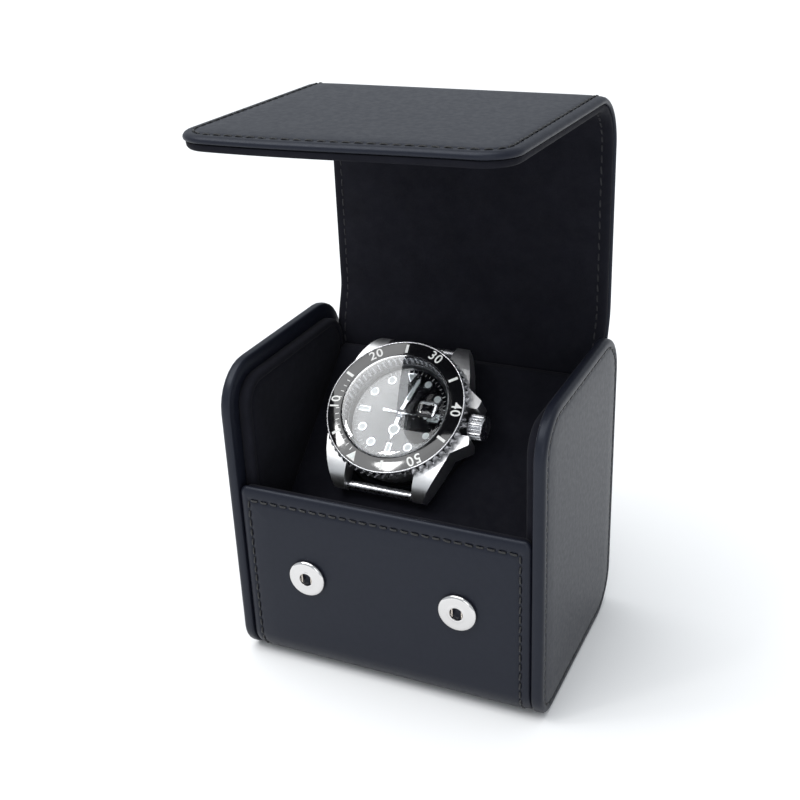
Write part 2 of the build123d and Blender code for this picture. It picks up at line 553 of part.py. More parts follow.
CROWN_LENGTH = 5.0
CROWN_X = 24.3
crown = Cylinder(CROWN_R, CROWN_LENGTH)
crown = fillet(crown.edges().filter_by(GeomType.CIRCLE).group_by(Axis.Z)[-1], 0.5)
for groove in range(18):
    turn = Rot(0, 0, groove * 20)
    crown = crown - turn * Pos(CROWN_R + 0.22, 0, -0.8) * Cylinder(0.42, CROWN_LENGTH)
crown = crown - disc(STEM_R + RUNNING_FIT, -3, 0.2)
save(WATCH.location * Pos(CROWN_X, 0, STEM_Z) * Rot(0, 90, 0) * crown, "watch_crown")
stem = Pos(17.8, 0, STEM_Z) * Rot(0, 90, 0) * Cylinder(STEM_R, 12.0)
save(WATCH.location * stem, "watch_stem")


def pointer(length, tail, width, tip_width, low, thickness, angle):
    """A watch hand on Z, pointing to angle degrees clockwise from 12."""
    outline = Polyline((-width / 2, -tail), (width / 2, -tail), (width / 2, length * 0.75),
                       (tip_width / 2, length), (-tip_width / 2, length), (-width / 2, length * 0.75),
                       close=True)
    return Rot(0, 0, -angle) * Pos(0, 0, low) * extrude(make_face(outline), amount=thickness)


HAND_T = 0.15
HOUR_Z, MINUTE_Z, SECOND_Z = -2.85, -2.5, -2.15
HOUR_ANGLE, MINUTE_ANGLE, SECOND_ANGLE = 181.0, 15.0, 93.0   # two and a half minutes past six
POST_LOW = DIAL_Z - 1.2
hour = pointer(8.6, 0, 1.7, 0.5, HOUR_Z, HAND_T, HOUR_ANGLE) + disc(1.4, HOUR_Z, HOUR_Z + HAND_T)
hour = hour + disc(1.0, POST_LOW, HOUR_Z) - disc(0.75, -9, 0)
save(WATCH.location * hour, "watch_hour_hand")
minute = pointer(12.6, 0, 1.4, 0.4, MINUTE_Z, HAND_T, MINUTE_ANGLE) + disc(1.2, MINUTE_Z, MINUTE_Z + HAND_T)
minute = minute + disc(0.7, POST_LOW, MINUTE_Z) - disc(0.45, -9, 0)
save(WATCH.location * minute, "watch_minute_hand")
second = pointer(13.0, 4.0, 0.35, 0.2, SECOND_Z, HAND_T, SECOND_ANGLE) + disc(0.8, SECOND_Z, SECOND_Z + HAND_T)
second = second + disc(0.4, POST_LOW, SECOND_Z)
save(WATCH.location * second, "watch_second_hand")

print("lid fold axis", round(FOLD_Y, 3), round(FOLD_Z, 3), "lid low", round(LID_LOW, 3))
print("flap bend axis", round(BEND_AXIS_Y, 3), round(BEND_AXIS_Z, 3))
print("winder axis point", AXIS_POINT, "normal", NORMAL)
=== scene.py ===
"""Looks of the watch winder box: leather, lining, stitches, snaps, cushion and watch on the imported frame."""
import bmesh
import bpy
import json
import math
import random
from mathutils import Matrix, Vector
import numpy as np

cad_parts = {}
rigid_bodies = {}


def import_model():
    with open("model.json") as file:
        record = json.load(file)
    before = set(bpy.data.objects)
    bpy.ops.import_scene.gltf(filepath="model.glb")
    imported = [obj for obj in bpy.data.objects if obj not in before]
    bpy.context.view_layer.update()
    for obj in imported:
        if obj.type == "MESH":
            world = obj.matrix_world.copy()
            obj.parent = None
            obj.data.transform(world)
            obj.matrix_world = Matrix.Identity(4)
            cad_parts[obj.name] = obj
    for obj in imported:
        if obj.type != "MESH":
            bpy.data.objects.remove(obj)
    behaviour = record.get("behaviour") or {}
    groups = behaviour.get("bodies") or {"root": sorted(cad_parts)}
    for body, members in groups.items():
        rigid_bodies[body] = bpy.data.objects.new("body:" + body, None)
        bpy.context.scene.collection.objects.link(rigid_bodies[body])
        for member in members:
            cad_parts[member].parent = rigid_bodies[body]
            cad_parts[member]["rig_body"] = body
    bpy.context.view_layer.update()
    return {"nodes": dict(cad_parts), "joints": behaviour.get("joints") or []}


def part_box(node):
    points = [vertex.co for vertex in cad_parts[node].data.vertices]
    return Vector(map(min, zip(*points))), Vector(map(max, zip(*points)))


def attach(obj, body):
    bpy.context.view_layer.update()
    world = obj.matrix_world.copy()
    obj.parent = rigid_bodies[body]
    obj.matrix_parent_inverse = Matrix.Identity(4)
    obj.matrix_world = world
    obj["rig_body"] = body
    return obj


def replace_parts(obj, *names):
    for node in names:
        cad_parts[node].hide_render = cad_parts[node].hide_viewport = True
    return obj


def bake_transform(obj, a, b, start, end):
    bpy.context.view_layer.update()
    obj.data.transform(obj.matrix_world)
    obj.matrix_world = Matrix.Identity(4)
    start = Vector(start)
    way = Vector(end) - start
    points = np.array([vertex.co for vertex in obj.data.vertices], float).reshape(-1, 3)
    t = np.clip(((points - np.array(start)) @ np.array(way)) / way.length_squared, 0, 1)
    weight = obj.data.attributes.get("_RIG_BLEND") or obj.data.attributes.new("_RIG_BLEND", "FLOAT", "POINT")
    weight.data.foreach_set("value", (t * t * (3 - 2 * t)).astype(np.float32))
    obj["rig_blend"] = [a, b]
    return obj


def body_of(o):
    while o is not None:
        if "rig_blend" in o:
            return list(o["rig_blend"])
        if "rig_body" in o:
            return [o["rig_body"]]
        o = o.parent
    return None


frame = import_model()
MM = 0.001
nodes = frame["nodes"]
joints = {joint["name"]: joint for joint in frame["joints"]}
random.seed(7)


def edges(node):
    """Lowest and highest corner of a CAD node, in millimetres."""
    low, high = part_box(node)
    return low / MM, high / MM


# ---- sizes read from the frame

outer_low, outer_high = edges("outer_panel_right")
inner_low, _ = edges("inner_panel_right")
lid_low, lid_high = edges("lid_leather")
flap_low, flap_high = edges("flap_leather")
FRONT, BACK, HEIGHT = outer_low.y, outer_high.y, outer_high.z
OUTSIDE_X, PANEL_X = outer_high.x, outer_low.x
PANEL_INSET = inner_low.y - outer_low.y
RIM = 0.7                        # the front wall's leather above its board
POCKET_HEIGHT = edges("front_board")[1].z + RIM
BACK_TOP = edges("wrap_leather")[1].z
LID_BACK, LID_LOW, BEND_Z = lid_high.y, lid_low.z, lid_high.z
TOP, FLAP_FRONT, BEND_Y = flap_high.z, flap_low.y, flap_high.y
FLAP_HALF = flap_high.x
BEND_R = TOP - BEND_Z
CORNER_R, FOOT_R, FLAP_CORNER_R = 13.0, 9.0, 9.0
LAYER = 2.1                      # thickness of the drawn leather, and of the drawn lining under it
STRIP = 2 * LAYER
PAD_MIDDLE = 8.5                 # inset from which a pad is flat

# ---- mesh helpers


def new_piece(name, verts, faces, body, slot, material, smooth_angle=40.0):
    """Object from millimetre vertices and faces, shaded smooth. Without a body it is left to be blended."""
    mesh = bpy.data.meshes.new(name)
    mesh.from_pydata([tuple(c * MM for c in v) for v in verts], [], faces)
    mesh.validate()
    obj = bpy.data.objects.new(name, mesh)
    bpy.context.scene.collection.objects.link(obj)
    mesh.materials.append(material)
    mesh.polygons.foreach_set("use_smooth", [True] * len(mesh.polygons))
    mesh.set_sharp_from_angle(angle=math.radians(smooth_angle))
    if body:
        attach(obj, body)
    return obj


def lerp(a, b, t):
    return a + (b - a) * t


def corner_arc(centre, radius, start, steps):
    """Quarter arc in the (u, s) plane, from angle start, counted clockwise as u is right and s is up."""
    out = []
    for k in range(steps + 1):
        angle = math.radians(start - 90.0 * k / steps)
        out.append((centre[0] + radius * math.cos(angle), centre[1] + radius * math.sin(angle)))
    return out


class Pad:
    """A leather or lining layer laid out flat in (u, s): u across, s along, h up from its underside.

    rect is (u0, u1, s0, s1). radii are the corner radii, clockwise from (u0, s0). Ends in open_ends ("s0",
    "s1") run on into another piece, so they have no rolled edge, and corners of radius 0. end_extra widens
    the inset at the s0 end only.
    """

    ARC = 8                      # steps in a corner
    CORNER_GAP = 0.2             # stations keep this far from the corners
    LEAST_RADIUS = 0.25

    def __init__(self, rect, radii, profile, stations, across, open_ends=(), end_extra=0.0):
        self.rect, self.radii, self.profile = rect, radii, profile
        self.open_ends, self.end_extra = open_ends, end_extra
        self.stations, self.across = stations, across

    def corner(self, u, s, radius, toward_u, toward_s, start):
        """Both halves of the corner arc at (u, s); they share its middle point."""
        if not radius:
            return [(u, s)], [(u, s)]
        arc = corner_arc((u + toward_u * radius, s + toward_s * radius), radius, start, self.ARC)
        half = self.ARC // 2
        return arc[:half + 1], arc[half:]

    def column(self, low, high):
        """The stations between low and high, with those in or past a corner gathered just beside it."""
        gap = self.CORNER_GAP
        below = [s for s in self.stations if s <= low + gap]
        above = [s for s in self.stations if s >= high - gap]
        inner = [s for s in self.stations if low + gap < s < high - gap]
        after_low = [low + gap * (k + 1) / (len(below) + 1) for k in range(len(below))]
        before_high = [high - gap * (len(above) - k) / (len(above) + 1) for k in range(len(above))]
        return after_low + inner + before_high

    def row(self, a, b, rounded):
        """Values between a and b. Without corner arcs the row takes up their steps."""
        count = self.across if rounded else self.across + self.ARC
        return [lerp(a, b, k / count) for k in range(1, count)]

    def chains(self, inset):
        """Left, far end, right and near end of the ring at an inset, as lists of (u, s)."""
        u0, u1, s0, s1 = self.rect
        left, right = u0 + inset, u1 - inset
        near = s0 if "s0" in self.open_ends else s0 + inset + self.end_extra * min(1.0, inset / 3.0)
        far = s1 if "s1" in self.open_ends else s1 - inset
        nl, fl, fr, nr = [max(r - inset, self.LEAST_RADIUS) if r else 0.0 for r in self.radii]
        near_left = self.corner(left, near, nl, 1, 1, 270)
        far_left = self.corner(left, far, fl, 1, -1, 180)
        far_right = self.corner(right, far, fr, -1, -1, 90)
        near_right = self.corner(right, near, nr, -1, 1, 0)
        column = self.column(near + max(nl, nr), far - max(fl, fr))
        left_side = [(left, s) for s in column]
        right_side = [(right, s) for s in reversed(column)]
        far_row = [(u, far) for u in self.row(left + fl, right - fr, fl)]
        near_row = [(u, near) for u in self.row(right - nr, left + nl, nl)]
        return [near_left[1] + left_side + far_left[0], far_left[1] + far_row + far_right[0],
                far_right[1] + right_side + near_right[0], near_right[1] + near_row + near_left[0]]

    def ring(self, inset):
        """Closed loop of (u, s) and, for each of its edges, whether a strip of faces stands on it."""
        points, walls = [], []
        for number, chain in enumerate(self.chains(inset)):
            is_open = (number == 1 and "s1" in self.open_ends) or (number == 3 and "s0" in self.open_ends)
            points += chain[:-1]
            walls += [not is_open] * (len(chain) - 1)
        return points, walls

    def fill(self, inset):
        """Grid of (u, s) inside the ring, row by row along the left side."""
        left, far, right, near = self.chains(inset)
        right, near = right[::-1], near[::-1]
        rows, columns = len(left), len(far)
        corners = (left[0], left[-1], right[0], right[-1])
        grid = []
        for j in range(rows):
            b = j / (rows - 1)
            line = []
            for i in range(columns):
                a = i / (columns - 1)
                point = []
                for axis in (0, 1):
                    value = ((1 - b) * near[i][axis] + b * far[i][axis]
                             + (1 - a) * left[j][axis] + a * right[j][axis])
                    value -= (1 - a) * (1 - b) * corners[0][axis] + (1 - a) * b * corners[1][axis]
                    value -= a * (1 - b) * corners[2][axis] + a * b * corners[3][axis]
                    point.append(value)
                line.append(tuple(point))
            grid.append(line)
        return grid

    def build(self, place):
        """Vertices and faces, with every (u, s, h) put in its place."""
        verts, faces, rings = [], [], []
        for inset, h in self.profile:
            points, walls = self.ring(inset)
            rings.append(list(range(len(verts), len(verts) + len(points))))
            verts += [place(u, s, h) for u, s in points]
        count = len(rings[0])
        for low, high in zip(rings, rings[1:]):
            for k in range(count):
                if walls[k]:
                    m = (k + 1) % count
                    faces.append((low[k], low[m], high[m], high[k]))
        for ring_index, flip in ((0, True), (-1, False)):
            inset, h = self.profile[ring_index]
            grid = self.fill(inset)
            rows, columns = len(grid), len(grid[0])
            ids = {}
            ring = rings[ring_index]
            loop = [(j, 0) for j in range(rows - 1)] + [(rows - 1, i) for i in range(columns - 1)]
            loop += [(j, columns - 1) for j in range(rows - 1, 0, -1)]
            loop += [(0, i) for i in range(columns - 1, 0, -1)]
            for key, vertex in zip(loop, ring):
                ids[key] = vertex
            for j in range(rows):
                for i in range(columns):
                    if (j, i) not in ids:
                        ids[(j, i)] = len(verts)
                        verts.append(place(*grid[j][i], h))
            for j in range(rows - 1):
                for i in range(columns - 1):
                    face = (ids[(j, i)], ids[(j + 1, i)], ids[(j + 1, i + 1)], ids[(j, i + 1)])
                    faces.append(face if flip else face[::-1])
        for end, name in ((1, "s1"), (3, "s0")):
            if name in self.open_ends:
                section = []
                for inset, h in self.profile:
                    chain = self.chains(inset)[end]
                    section.append((place(*chain[0], h), place(*chain[-1], h)))
                start = len(verts)
                verts += [a for a, _ in section] + [b for _, b in reversed(section)]
                faces.append(tuple(range(start, len(verts))))
        used = sorted({v for f in faces for v in f})
        renumber = {v: k for k, v in enumerate(used)}
        return [verts[v] for v in used], [tuple(renumber[v] for v in f) for f in faces]


STITCH_PITCH, STITCH_LENGTH, THREAD_R = 3.1, 2.35, 0.27
THREAD_SIDES, THREAD_END = 8, 0.55
TANGENT_STEP = 0.2
STITCH_SPINE = ((-1.0, -0.34), (-0.86, -0.05), (-0.5, 0.1), (0, 0.16),
                (0.5, 0.1), (0.86, -0.05), (1.0, -0.34))    # part of half its length, and height


def stitch_run(points, place, height, closed=False):
    """Vertices and faces of thread stitches along a line of (u, s) points."""
    if closed:
        points = points + points[:1]
    marks = [0.0]
    for a, b in zip(points, points[1:]):
        marks.append(marks[-1] + math.dist(a, b))
    total = marks[-1]

    def at(distance):
        distance = min(max(distance, 0.0), total)
        for k in range(len(points) - 1):
            if distance <= marks[k + 1] or k == len(points) - 2:
                span = marks[k + 1] - marks[k] or 1.0
                t = (distance - marks[k]) / span
                return (lerp(points[k][0], points[k + 1][0], t), lerp(points[k][1], points[k + 1][1], t))

    verts, faces = [], []
    count = max(1, round(total / STITCH_PITCH))
    step = total / count
    for n in range(count):
        middle = (n + 0.5) * step
        reach = STITCH_LENGTH / 2 * random.uniform(0.94, 1.05)
        slant = random.uniform(-0.09, 0.09) + 0.06
        lift = random.uniform(-0.04, 0.06)
        rings = []
        for part, dip in STITCH_SPINE:
            u, s = at(middle + part * reach)
            ahead = at(middle + part * reach + TANGENT_STEP)
            behind = at(middle + part * reach - TANGENT_STEP)
            du, ds = ahead[0] - behind[0], ahead[1] - behind[1]
            size = math.hypot(du, ds) or 1.0
            across = (-ds / size, du / size)
            side = slant * part * reach
            centre = (u + across[0] * side, s + across[1] * side, height + dip + lift)
            thick = THREAD_R * (THREAD_END if abs(part) == 1.0 else 1.0)
            rings.append(list(range(len(verts), len(verts) + THREAD_SIDES)))
            for m in range(THREAD_SIDES):
                angle = 2 * math.pi * m / THREAD_SIDES
                offset, rise = thick * math.cos(angle), thick * math.sin(angle) * 0.85
                verts.append(place(centre[0] + across[0] * offset, centre[1] + across[1] * offset,
                                   centre[2] + rise))
        for low, high in zip(rings, rings[1:]):
            for m in range(THREAD_SIDES):
                after = (m + 1) % THREAD_SIDES
                faces.append((low[m], low[after], high[after], high[m]))
        faces.append(tuple(reversed(rings[0])))
        faces.append(tuple(rings[-1]))
    return verts, faces


def merge(*meshes):
    """One vertex and face list from several."""
    verts, faces = [], []
    for more_verts, more_faces in meshes:
        start = len(verts)
        verts += more_verts
        faces += [tuple(start + v for v in f) for f in more_faces]
    return verts, faces


def lathe(profile, place, segments, radius_at=None):
    """Closed surface of revolution from (radius, z) points; a radius of zero closes on the axis."""
    verts, faces, rings = [], [], []
    for r, z in profile:
        if r < 1e-6:
            rings.append([len(verts)])
            verts.append(place(0.0, 0.0, z))
        else:
            ring = []
            for k in range(segments):
                angle = 2 * math.pi * k / segments
                rr = radius_at(r, z, angle) if radius_at else r
                ring.append(len(verts))
                verts.append(place(rr * math.cos(angle), rr * math.sin(angle), z))
            rings.append(ring)
    closed = profile[0][0] > 1e-6 and profile[-1][0] > 1e-6
    pairs = list(zip(rings, rings[1:])) + ([(rings[-1], rings[0])] if closed else [])
    for low, high in pairs:
        for k in range(segments):
            m = (k + 1) % segments
            if len(low) == 1:
                faces.append((low[0], high[k], high[m]))
            elif len(high) == 1:
                faces.append((low[k], high[0], low[m]))
            else:
                faces.append((low[k], high[k], high[m], low[m]))
    return verts, faces


# ---- materials


def socket(node, name, value):
    node.inputs[name].default_value = value


class Look:
    """A node material with a few short cuts. Noise from NOISE_LOW to NOISE_HIGH spans a whole range."""

    NOISE_LOW, NOISE_HIGH = 0.3, 0.7

    def __init__(self, name, colour, roughness, metallic=0.0, specular=0.5, **more):
        self.material = bpy.data.materials.new(name)
        self.material.use_nodes = True
        self.tree = self.material.node_tree
        self.shader = self.tree.nodes["Principled BSDF"]
        socket(self.shader, "Base Color", (*colour, 1.0))
        socket(self.shader, "Roughness", roughness)
        socket(self.shader, "Metallic", metallic)
        socket(self.shader, "Specular IOR Level", specular)
        for key, value in more.items():
            socket(self.shader, key.replace("_", " "), value)
        self.coords = self.tree.nodes.new("ShaderNodeTexCoord")
        self.normal = None

    def node(self, kind, **settings):
        """A new shader node. Each setting goes to its input of that name, or else to the node itself."""
        made = self.tree.nodes.new(kind)
        for key, value in settings.items():
            if key.replace("_", " ") in made.inputs:
                socket(made, key.replace("_", " "), value)
            else:
                setattr(made, key, value)
        return made

    def link(self, a, b):
        self.tree.links.new(a, b)

    def noise(self, scale, detail=3.0, stretch=(1, 1, 1)):
        mapping = self.node("ShaderNodeMapping", Scale=stretch)
        self.link(self.coords.outputs["Object"], mapping.inputs["Vector"])
        made = self.node("ShaderNodeTexNoise", Scale=scale, Detail=detail)
        self.link(mapping.outputs["Vector"], made.inputs["Vector"])
        return made.outputs["Fac"]

    def cells(self, scale):
        made = self.node("ShaderNodeTexVoronoi", feature="DISTANCE_TO_EDGE", Scale=scale)
        self.link(self.coords.outputs["Object"], made.inputs["Vector"])
        return made.outputs["Distance"]

    def range(self, value, low, high):
        made = self.node("ShaderNodeMapRange", From_Min=self.NOISE_LOW, From_Max=self.NOISE_HIGH,
                         To_Min=low, To_Max=high)
        self.link(value, made.inputs["Value"])
        return made.outputs["Result"]

    def vary_roughness(self, value, low, high):
        self.link(self.range(value, low, high), self.shader.inputs["Roughness"])

    def vary_colour(self, value, dark, light):
        mix = self.node("ShaderNodeMix", data_type="RGBA")
        ends = [end for end in mix.inputs if end.type == "RGBA"]
        for end, colour in zip(ends, (dark, light)):
            end.default_value = (*colour, 1.0)
        self.link(self.range(value, 0.0, 1.0), mix.inputs["Factor"])
        result = next(end for end in mix.outputs if end.type == "RGBA")
        self.link(result, self.shader.inputs["Base Color"])

    def bump(self, value, distance, strength=1.0):
        made = self.node("ShaderNodeBump", Strength=strength, Distance=distance)
        self.link(value, made.inputs["Height"])
        if self.normal:
            self.link(self.normal, made.inputs["Normal"])
        self.normal = made.outputs["Normal"]
        self.link(self.normal, self.shader.inputs["Normal"])


def leather_look(name):
    dark, light = (0.0070, 0.0080, 0.0140), (0.0082, 0.0094, 0.0160)
    look = Look(name, dark, 0.40, specular=0.26, Specular_Tint=(0.84, 0.90, 1.0, 1.0))
    look.vary_colour(look.noise(900, 3), dark, light)
    look.vary_roughness(look.noise(700, 4), 0.37, 0.45)
    look.bump(look.cells(1700), 0.00003, 0.35)
    look.bump(look.noise(3600, 3), 0.000012, 0.5)
    return look.material


def fabric_look(name, dark=(0.0056, 0.0058, 0.0092), light=(0.0078, 0.0080, 0.0125)):
    look = Look(name, dark, 0.9, specular=0.12, Sheen_Weight=0.03, Sheen_Roughness=0.45)
    look.vary_colour(look.noise(120, 5), dark, light)
    look.vary_roughness(look.noise(400, 3), 0.82, 0.97)
    look.bump(look.noise(2600, 4), 0.00006, 0.7)
    return look.material


def metal_look(name, colour, low, high, grain=(1, 1, 1), scale=900, bump=0.0):
    look = Look(name, colour, low, metallic=1.0)
    value = look.noise(scale, 3, grain)
    look.vary_roughness(value, low, high)
    if bump:
        look.bump(value, bump, 0.5)
    return look.material


def plastic_look(name, colour, low, high, grain=1800, distance=0.00002):
    look = Look(name, colour, low)
    look.vary_colour(look.noise(150, 3), colour, tuple(min(1.0, c * 1.25 + 0.002) for c in colour))
    look.vary_roughness(look.noise(500, 3), low, high)
    look.bump(look.noise(grain, 3), distance, 0.4)
    return look.material


def thread_look(name):
    look = Look(name, (0.006, 0.006, 0.007), 0.35)
    look.bump(look.noise(5200, 2), 0.00005, 0.7)
    look.vary_roughness(look.noise(1800, 2), 0.28, 0.5)
    return look.material


def glass_look(name):
    look = Look(name, (0.96, 0.98, 1.0), 0.0, Transmission_Weight=1.0, IOR=1.5)
    look.vary_roughness(look.noise(40, 2), 0.0, 0.015)
    return look.material


LEATHER = leather_look("leather")
THREAD = thread_look("thread")
LINING_THREAD = plastic_look("lining_thread", (0.006, 0.006, 0.009), 0.7, 0.9, 4000, 0.00003)
LINING = fabric_look("microfibre")
CUSHION = fabric_look("cushion_microfibre", (0.0035, 0.0035, 0.0055), (0.0055, 0.0055, 0.008))
NICKEL = metal_look("nickel", (0.66, 0.65, 0.645), 0.07, 0.16)
SPRING = metal_look("spring_steel", (0.55, 0.5, 0.45), 0.15, 0.3)
PLASTIC = plastic_look("black_plastic", (0.012, 0.012, 0.014), 0.42, 0.6)
ACETAL = plastic_look("acetal", (0.78, 0.77, 0.72), 0.3, 0.42)
BRASS = metal_look("brass", (0.72, 0.56, 0.27), 0.2, 0.35)
TURNED = metal_look("turned_steel", (0.6, 0.6, 0.62), 0.2, 0.36)
CAN = metal_look("motor_can", (0.5, 0.5, 0.52), 0.26, 0.42, (1, 1, 6))
CIRCUIT = plastic_look("circuit", (0.015, 0.09, 0.035), 0.25, 0.4)

SATIN = metal_look("satin_steel", (0.34, 0.34, 0.35), 0.36, 0.4, (1, 1, 1), 200)
POLISHED = metal_look("polished_steel", (0.72, 0.72, 0.73), 0.05, 0.12)
BRUSHED = metal_look("brushed_steel", (0.74, 0.74, 0.745), 0.3, 0.42, (1, 0.03, 0.03), 4200, 0.000004)
CERAMIC = plastic_look("ceramic", (0.004, 0.004, 0.005), 0.04, 0.08, 300, 0.000002)
CERAMIC.node_tree.nodes["Principled BSDF"].inputs["IOR"].default_value = 1.56
DIAL = plastic_look("dial_black", (0.003, 0.003, 0.004), 0.08, 0.14, 600, 0.000002)
LUME = plastic_look("lume", (0.72, 0.76, 0.74), 0.5, 0.62, 2500, 0.000015)
MARK = plastic_look("bezel_mark", (0.74, 0.74, 0.72), 0.35, 0.5, 2500, 0.000008)
GLASS = glass_look("crystal")

for material, names in (
    (LINING, ("face_plate",)),
    (PLASTIC, ("cheek_left", "cheek_right", "gear_plate", "power_inlet", "switch_housing", "switch_rocker")),
    (BRASS, ("spindle_bush", "watch_movement")),
    (TURNED, ("idler_pin", "motor_screws", "spindle", "watch_stem")),
    (CAN, ("gear_motor",)),
    (CIRCUIT, ("circuit_board",)),
    (NICKEL, ("snap_socket_backs", "snap_stud_backs")),
    (SPRING, ("snap_springs", "spindle_clip")),
    (ACETAL, ("spindle_gear", "idler_gear", "motor_pinion")),
    (BRUSHED, ("watch_case",)),
    (POLISHED, ("watch_case_back",)),
    (DIAL, ("watch_dial",)),
):
    for node in names:
        nodes[node].data.materials.clear()
        nodes[node].data.materials.append(material)

# ---- side panels

EDGE_ROLL = [(0.5, 0.0), (0.12, 0.28), (0.0, 0.75)]


def face_profile(top, groove):
    """Outer face from the rolled edge to the middle: lip, stitch groove and gentle rise."""
    lip = 0.18
    return [(0.0, top - 1.25), (0.1, top - 0.72), (0.42, top - 0.24), (0.95, top + 0.02),
            (groove - 0.9, top + lip * 0.6), (groove - 0.5, top + lip * 0.2), (groove - 0.22, top - 0.2),
            (groove, top - 0.32), (groove + 0.22, top - 0.22), (groove + 0.6, top - 0.02),
            (groove + 1.5, top + lip * 0.5), (PAD_MIDDLE, top + lip)]


PANEL_GROOVE = 2.6
INNER_T, INNER_GROOVE = 3.4, 2.4
PANEL_CLEAR = 14                 # height from which a panel's sides are straight


def even(low, high, step):
    """Evenly spaced values from low to high, about step apart."""
    count = max(1, round((high - low) / step))
    return [lerp(low, high, k / count) for k in range(count + 1)]


def side_panel(layer, word, side):
    """One padded side panel. The inner ones are lined, the outer ones leather covered and stitched."""
    if layer == "inner":
        inset, toward, thickness, groove, material = PANEL_INSET, -1.0, INNER_T, INNER_GROOVE, LINING
    else:
        inset, toward, thickness, groove, material = 0.0, 1.0, OUTSIDE_X - PANEL_X, PANEL_GROOVE, LEATHER
    rect = (FRONT + inset, BACK - inset, inset, HEIGHT - inset)
    profile = [(PAD_MIDDLE, 0.0), (3.0, 0.0)] + EDGE_ROLL + face_profile(thickness - 0.15, groove)

    def place(u, s, h):
        x = PANEL_X + toward * h
        return Vector((side * x, u, s))

    corner = CORNER_R - inset
    pad = Pad(rect, (FOOT_R - inset, corner, corner, corner), profile,
              even(rect[2] + PANEL_CLEAR, rect[3] - PANEL_CLEAR, 6.0), 9)
    verts, faces = pad.build(place)
    if side * toward < 0:
        faces = [f[::-1] for f in faces]
    panel = new_piece(f"{layer}_{word}", verts, faces, "case", "leather", material)
    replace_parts(panel, f"{layer}_panel_{word}")
    if layer == "outer":
        line, _ = pad.ring(groove)
        new_piece(f"outer_{word}_stitches", *stitch_run(line, place, thickness - 0.36, closed=True),
                  "case", "leather", THREAD)


for side, word in ((-1, "left"), (1, "right")):
    side_panel("outer", word, side)
    side_panel("inner", word, side)

# ---- the strip: front wall, base, back wall, lid and flap


def strip_path():
    """Points of the strip's outside in (y, z), from the front wall's rim round to the flap's free edge."""
    points = []

    def line(a, b):
        count = max(1, int(math.dist(a, b)))
        points.extend((lerp(a[0], b[0], k / count), lerp(a[1], b[1], k / count)) for k in range(count))

    def arc(centre, radius, start, end, steps=24):
        for k in range(steps):
            angle = math.radians(lerp(start, end, k / steps))
            points.append((centre[0] + radius * math.cos(angle), centre[1] + radius * math.sin(angle)))

    marks = {}
    line((FRONT, POCKET_HEIGHT), (FRONT, FOOT_R))
    arc((FRONT + FOOT_R, FOOT_R), FOOT_R, 180, 270)
    line((FRONT + FOOT_R, 0), (BACK - CORNER_R, 0))
    arc((BACK - CORNER_R, CORNER_R), CORNER_R, -90, 0)
    line((BACK, CORNER_R), (BACK, BACK_TOP))
    marks["fold0"] = len(points)
    rise, out = LID_LOW - BACK_TOP, LID_BACK - BACK
    for k in range(24):
        t = k / 24
        points.append((BACK + out * (3 * t * t - 2 * t ** 3), BACK_TOP + rise * t))
    marks["fold1"] = len(points)
    line((LID_BACK, LID_LOW), (LID_BACK, BEND_Z))
    marks["bend0"] = len(points)
    arc((BEND_Y, BEND_Z), BEND_R, 0, 90)
    marks["bend1"] = len(points)
    line((BEND_Y, TOP), (FLAP_FRONT, TOP))
    points.append((FLAP_FRONT, TOP))
    return points, marks


class Strip:
    """Maps distance s along the strip's outside, and depth below it, to (y, z)."""

    def __init__(self):
        self.points, marks = strip_path()
        self.s = [0.0]
        for a, b in zip(self.points, self.points[1:]):
            self.s.append(self.s[-1] + math.dist(a, b))
        self.mark = {key: self.s[index] for key, index in marks.items()}
        self.length = self.s[-1]

    def at(self, s, depth):
        low, high = 0, len(self.s) - 1
        while high - low > 1:
            middle = (low + high) // 2
            if self.s[middle] <= s:
                low = middle
            else:
                high = middle
        t = (s - self.s[low]) / (self.s[low + 1] - self.s[low])
        a, b = self.points[low], self.points[low + 1]
        before = self.points[max(low - 1, 0)]
        after = self.points[min(low + 2, len(self.points) - 1)]
        tangent_a = Vector((b[0] - before[0], b[1] - before[1])).normalized()
        tangent_b = Vector((after[0] - a[0], after[1] - a[1])).normalized()
        tangent = tangent_a.lerp(tangent_b, t).normalized()
        y, z = lerp(a[0], b[0], t), lerp(a[1], b[1], t)
        inward = (-tangent.y, tangent.x)
        return y + inward[0] * depth, z + inward[1] * depth


strip = Strip()
SEAM = (strip.mark["fold1"] + strip.mark["bend0"]) / 2
STRIP_GROOVE = 2.8


def stations(low, high):
    """Stations along the strip: close together in its bends and wide apart on its flats."""
    foot = POCKET_HEIGHT - FOOT_R
    heel = foot + math.pi / 2 * FOOT_R + (BACK - CORNER_R) - (FRONT + FOOT_R)
    bends = [(foot - 2, foot + 17), (heel - 2, heel + math.pi / 2 * CORNER_R + 2),
             (strip.mark["fold0"] - 1, strip.mark["fold1"] + 1),
             (strip.mark["bend0"] - 1, strip.mark["bend1"] + 1)]
    out, s = [], low
    while s < high:
        out.append(s)
        s += 0.9 if any(a < s < b for a, b in bends) else 4.0
    return out


def flap_drift(u, s):
    """How far the soft flap's free end has crept to the left and backward, in millimetres."""
    reach = max(0.0, (s - strip.mark["bend1"]) / (strip.length - strip.mark["bend1"]))
    back = 1.5 + 1.5 * math.sin((u - 6.0) / 20.0)
    return 2.4 * reach, back * reach ** 2


def strip_place(outer):
    """Placing function for a layer: the leather (outer) or the lining under it."""
    def place(u, s, h):
        depth = (LAYER - h) if outer else (LAYER + h)
        inside = min(max(s, 0.0), strip.length)
        y, z = strip.at(inside, depth)
        y -= s - inside
        left, back = flap_drift(u, s)
        return Vector((u - left, y + back, z))
    return place


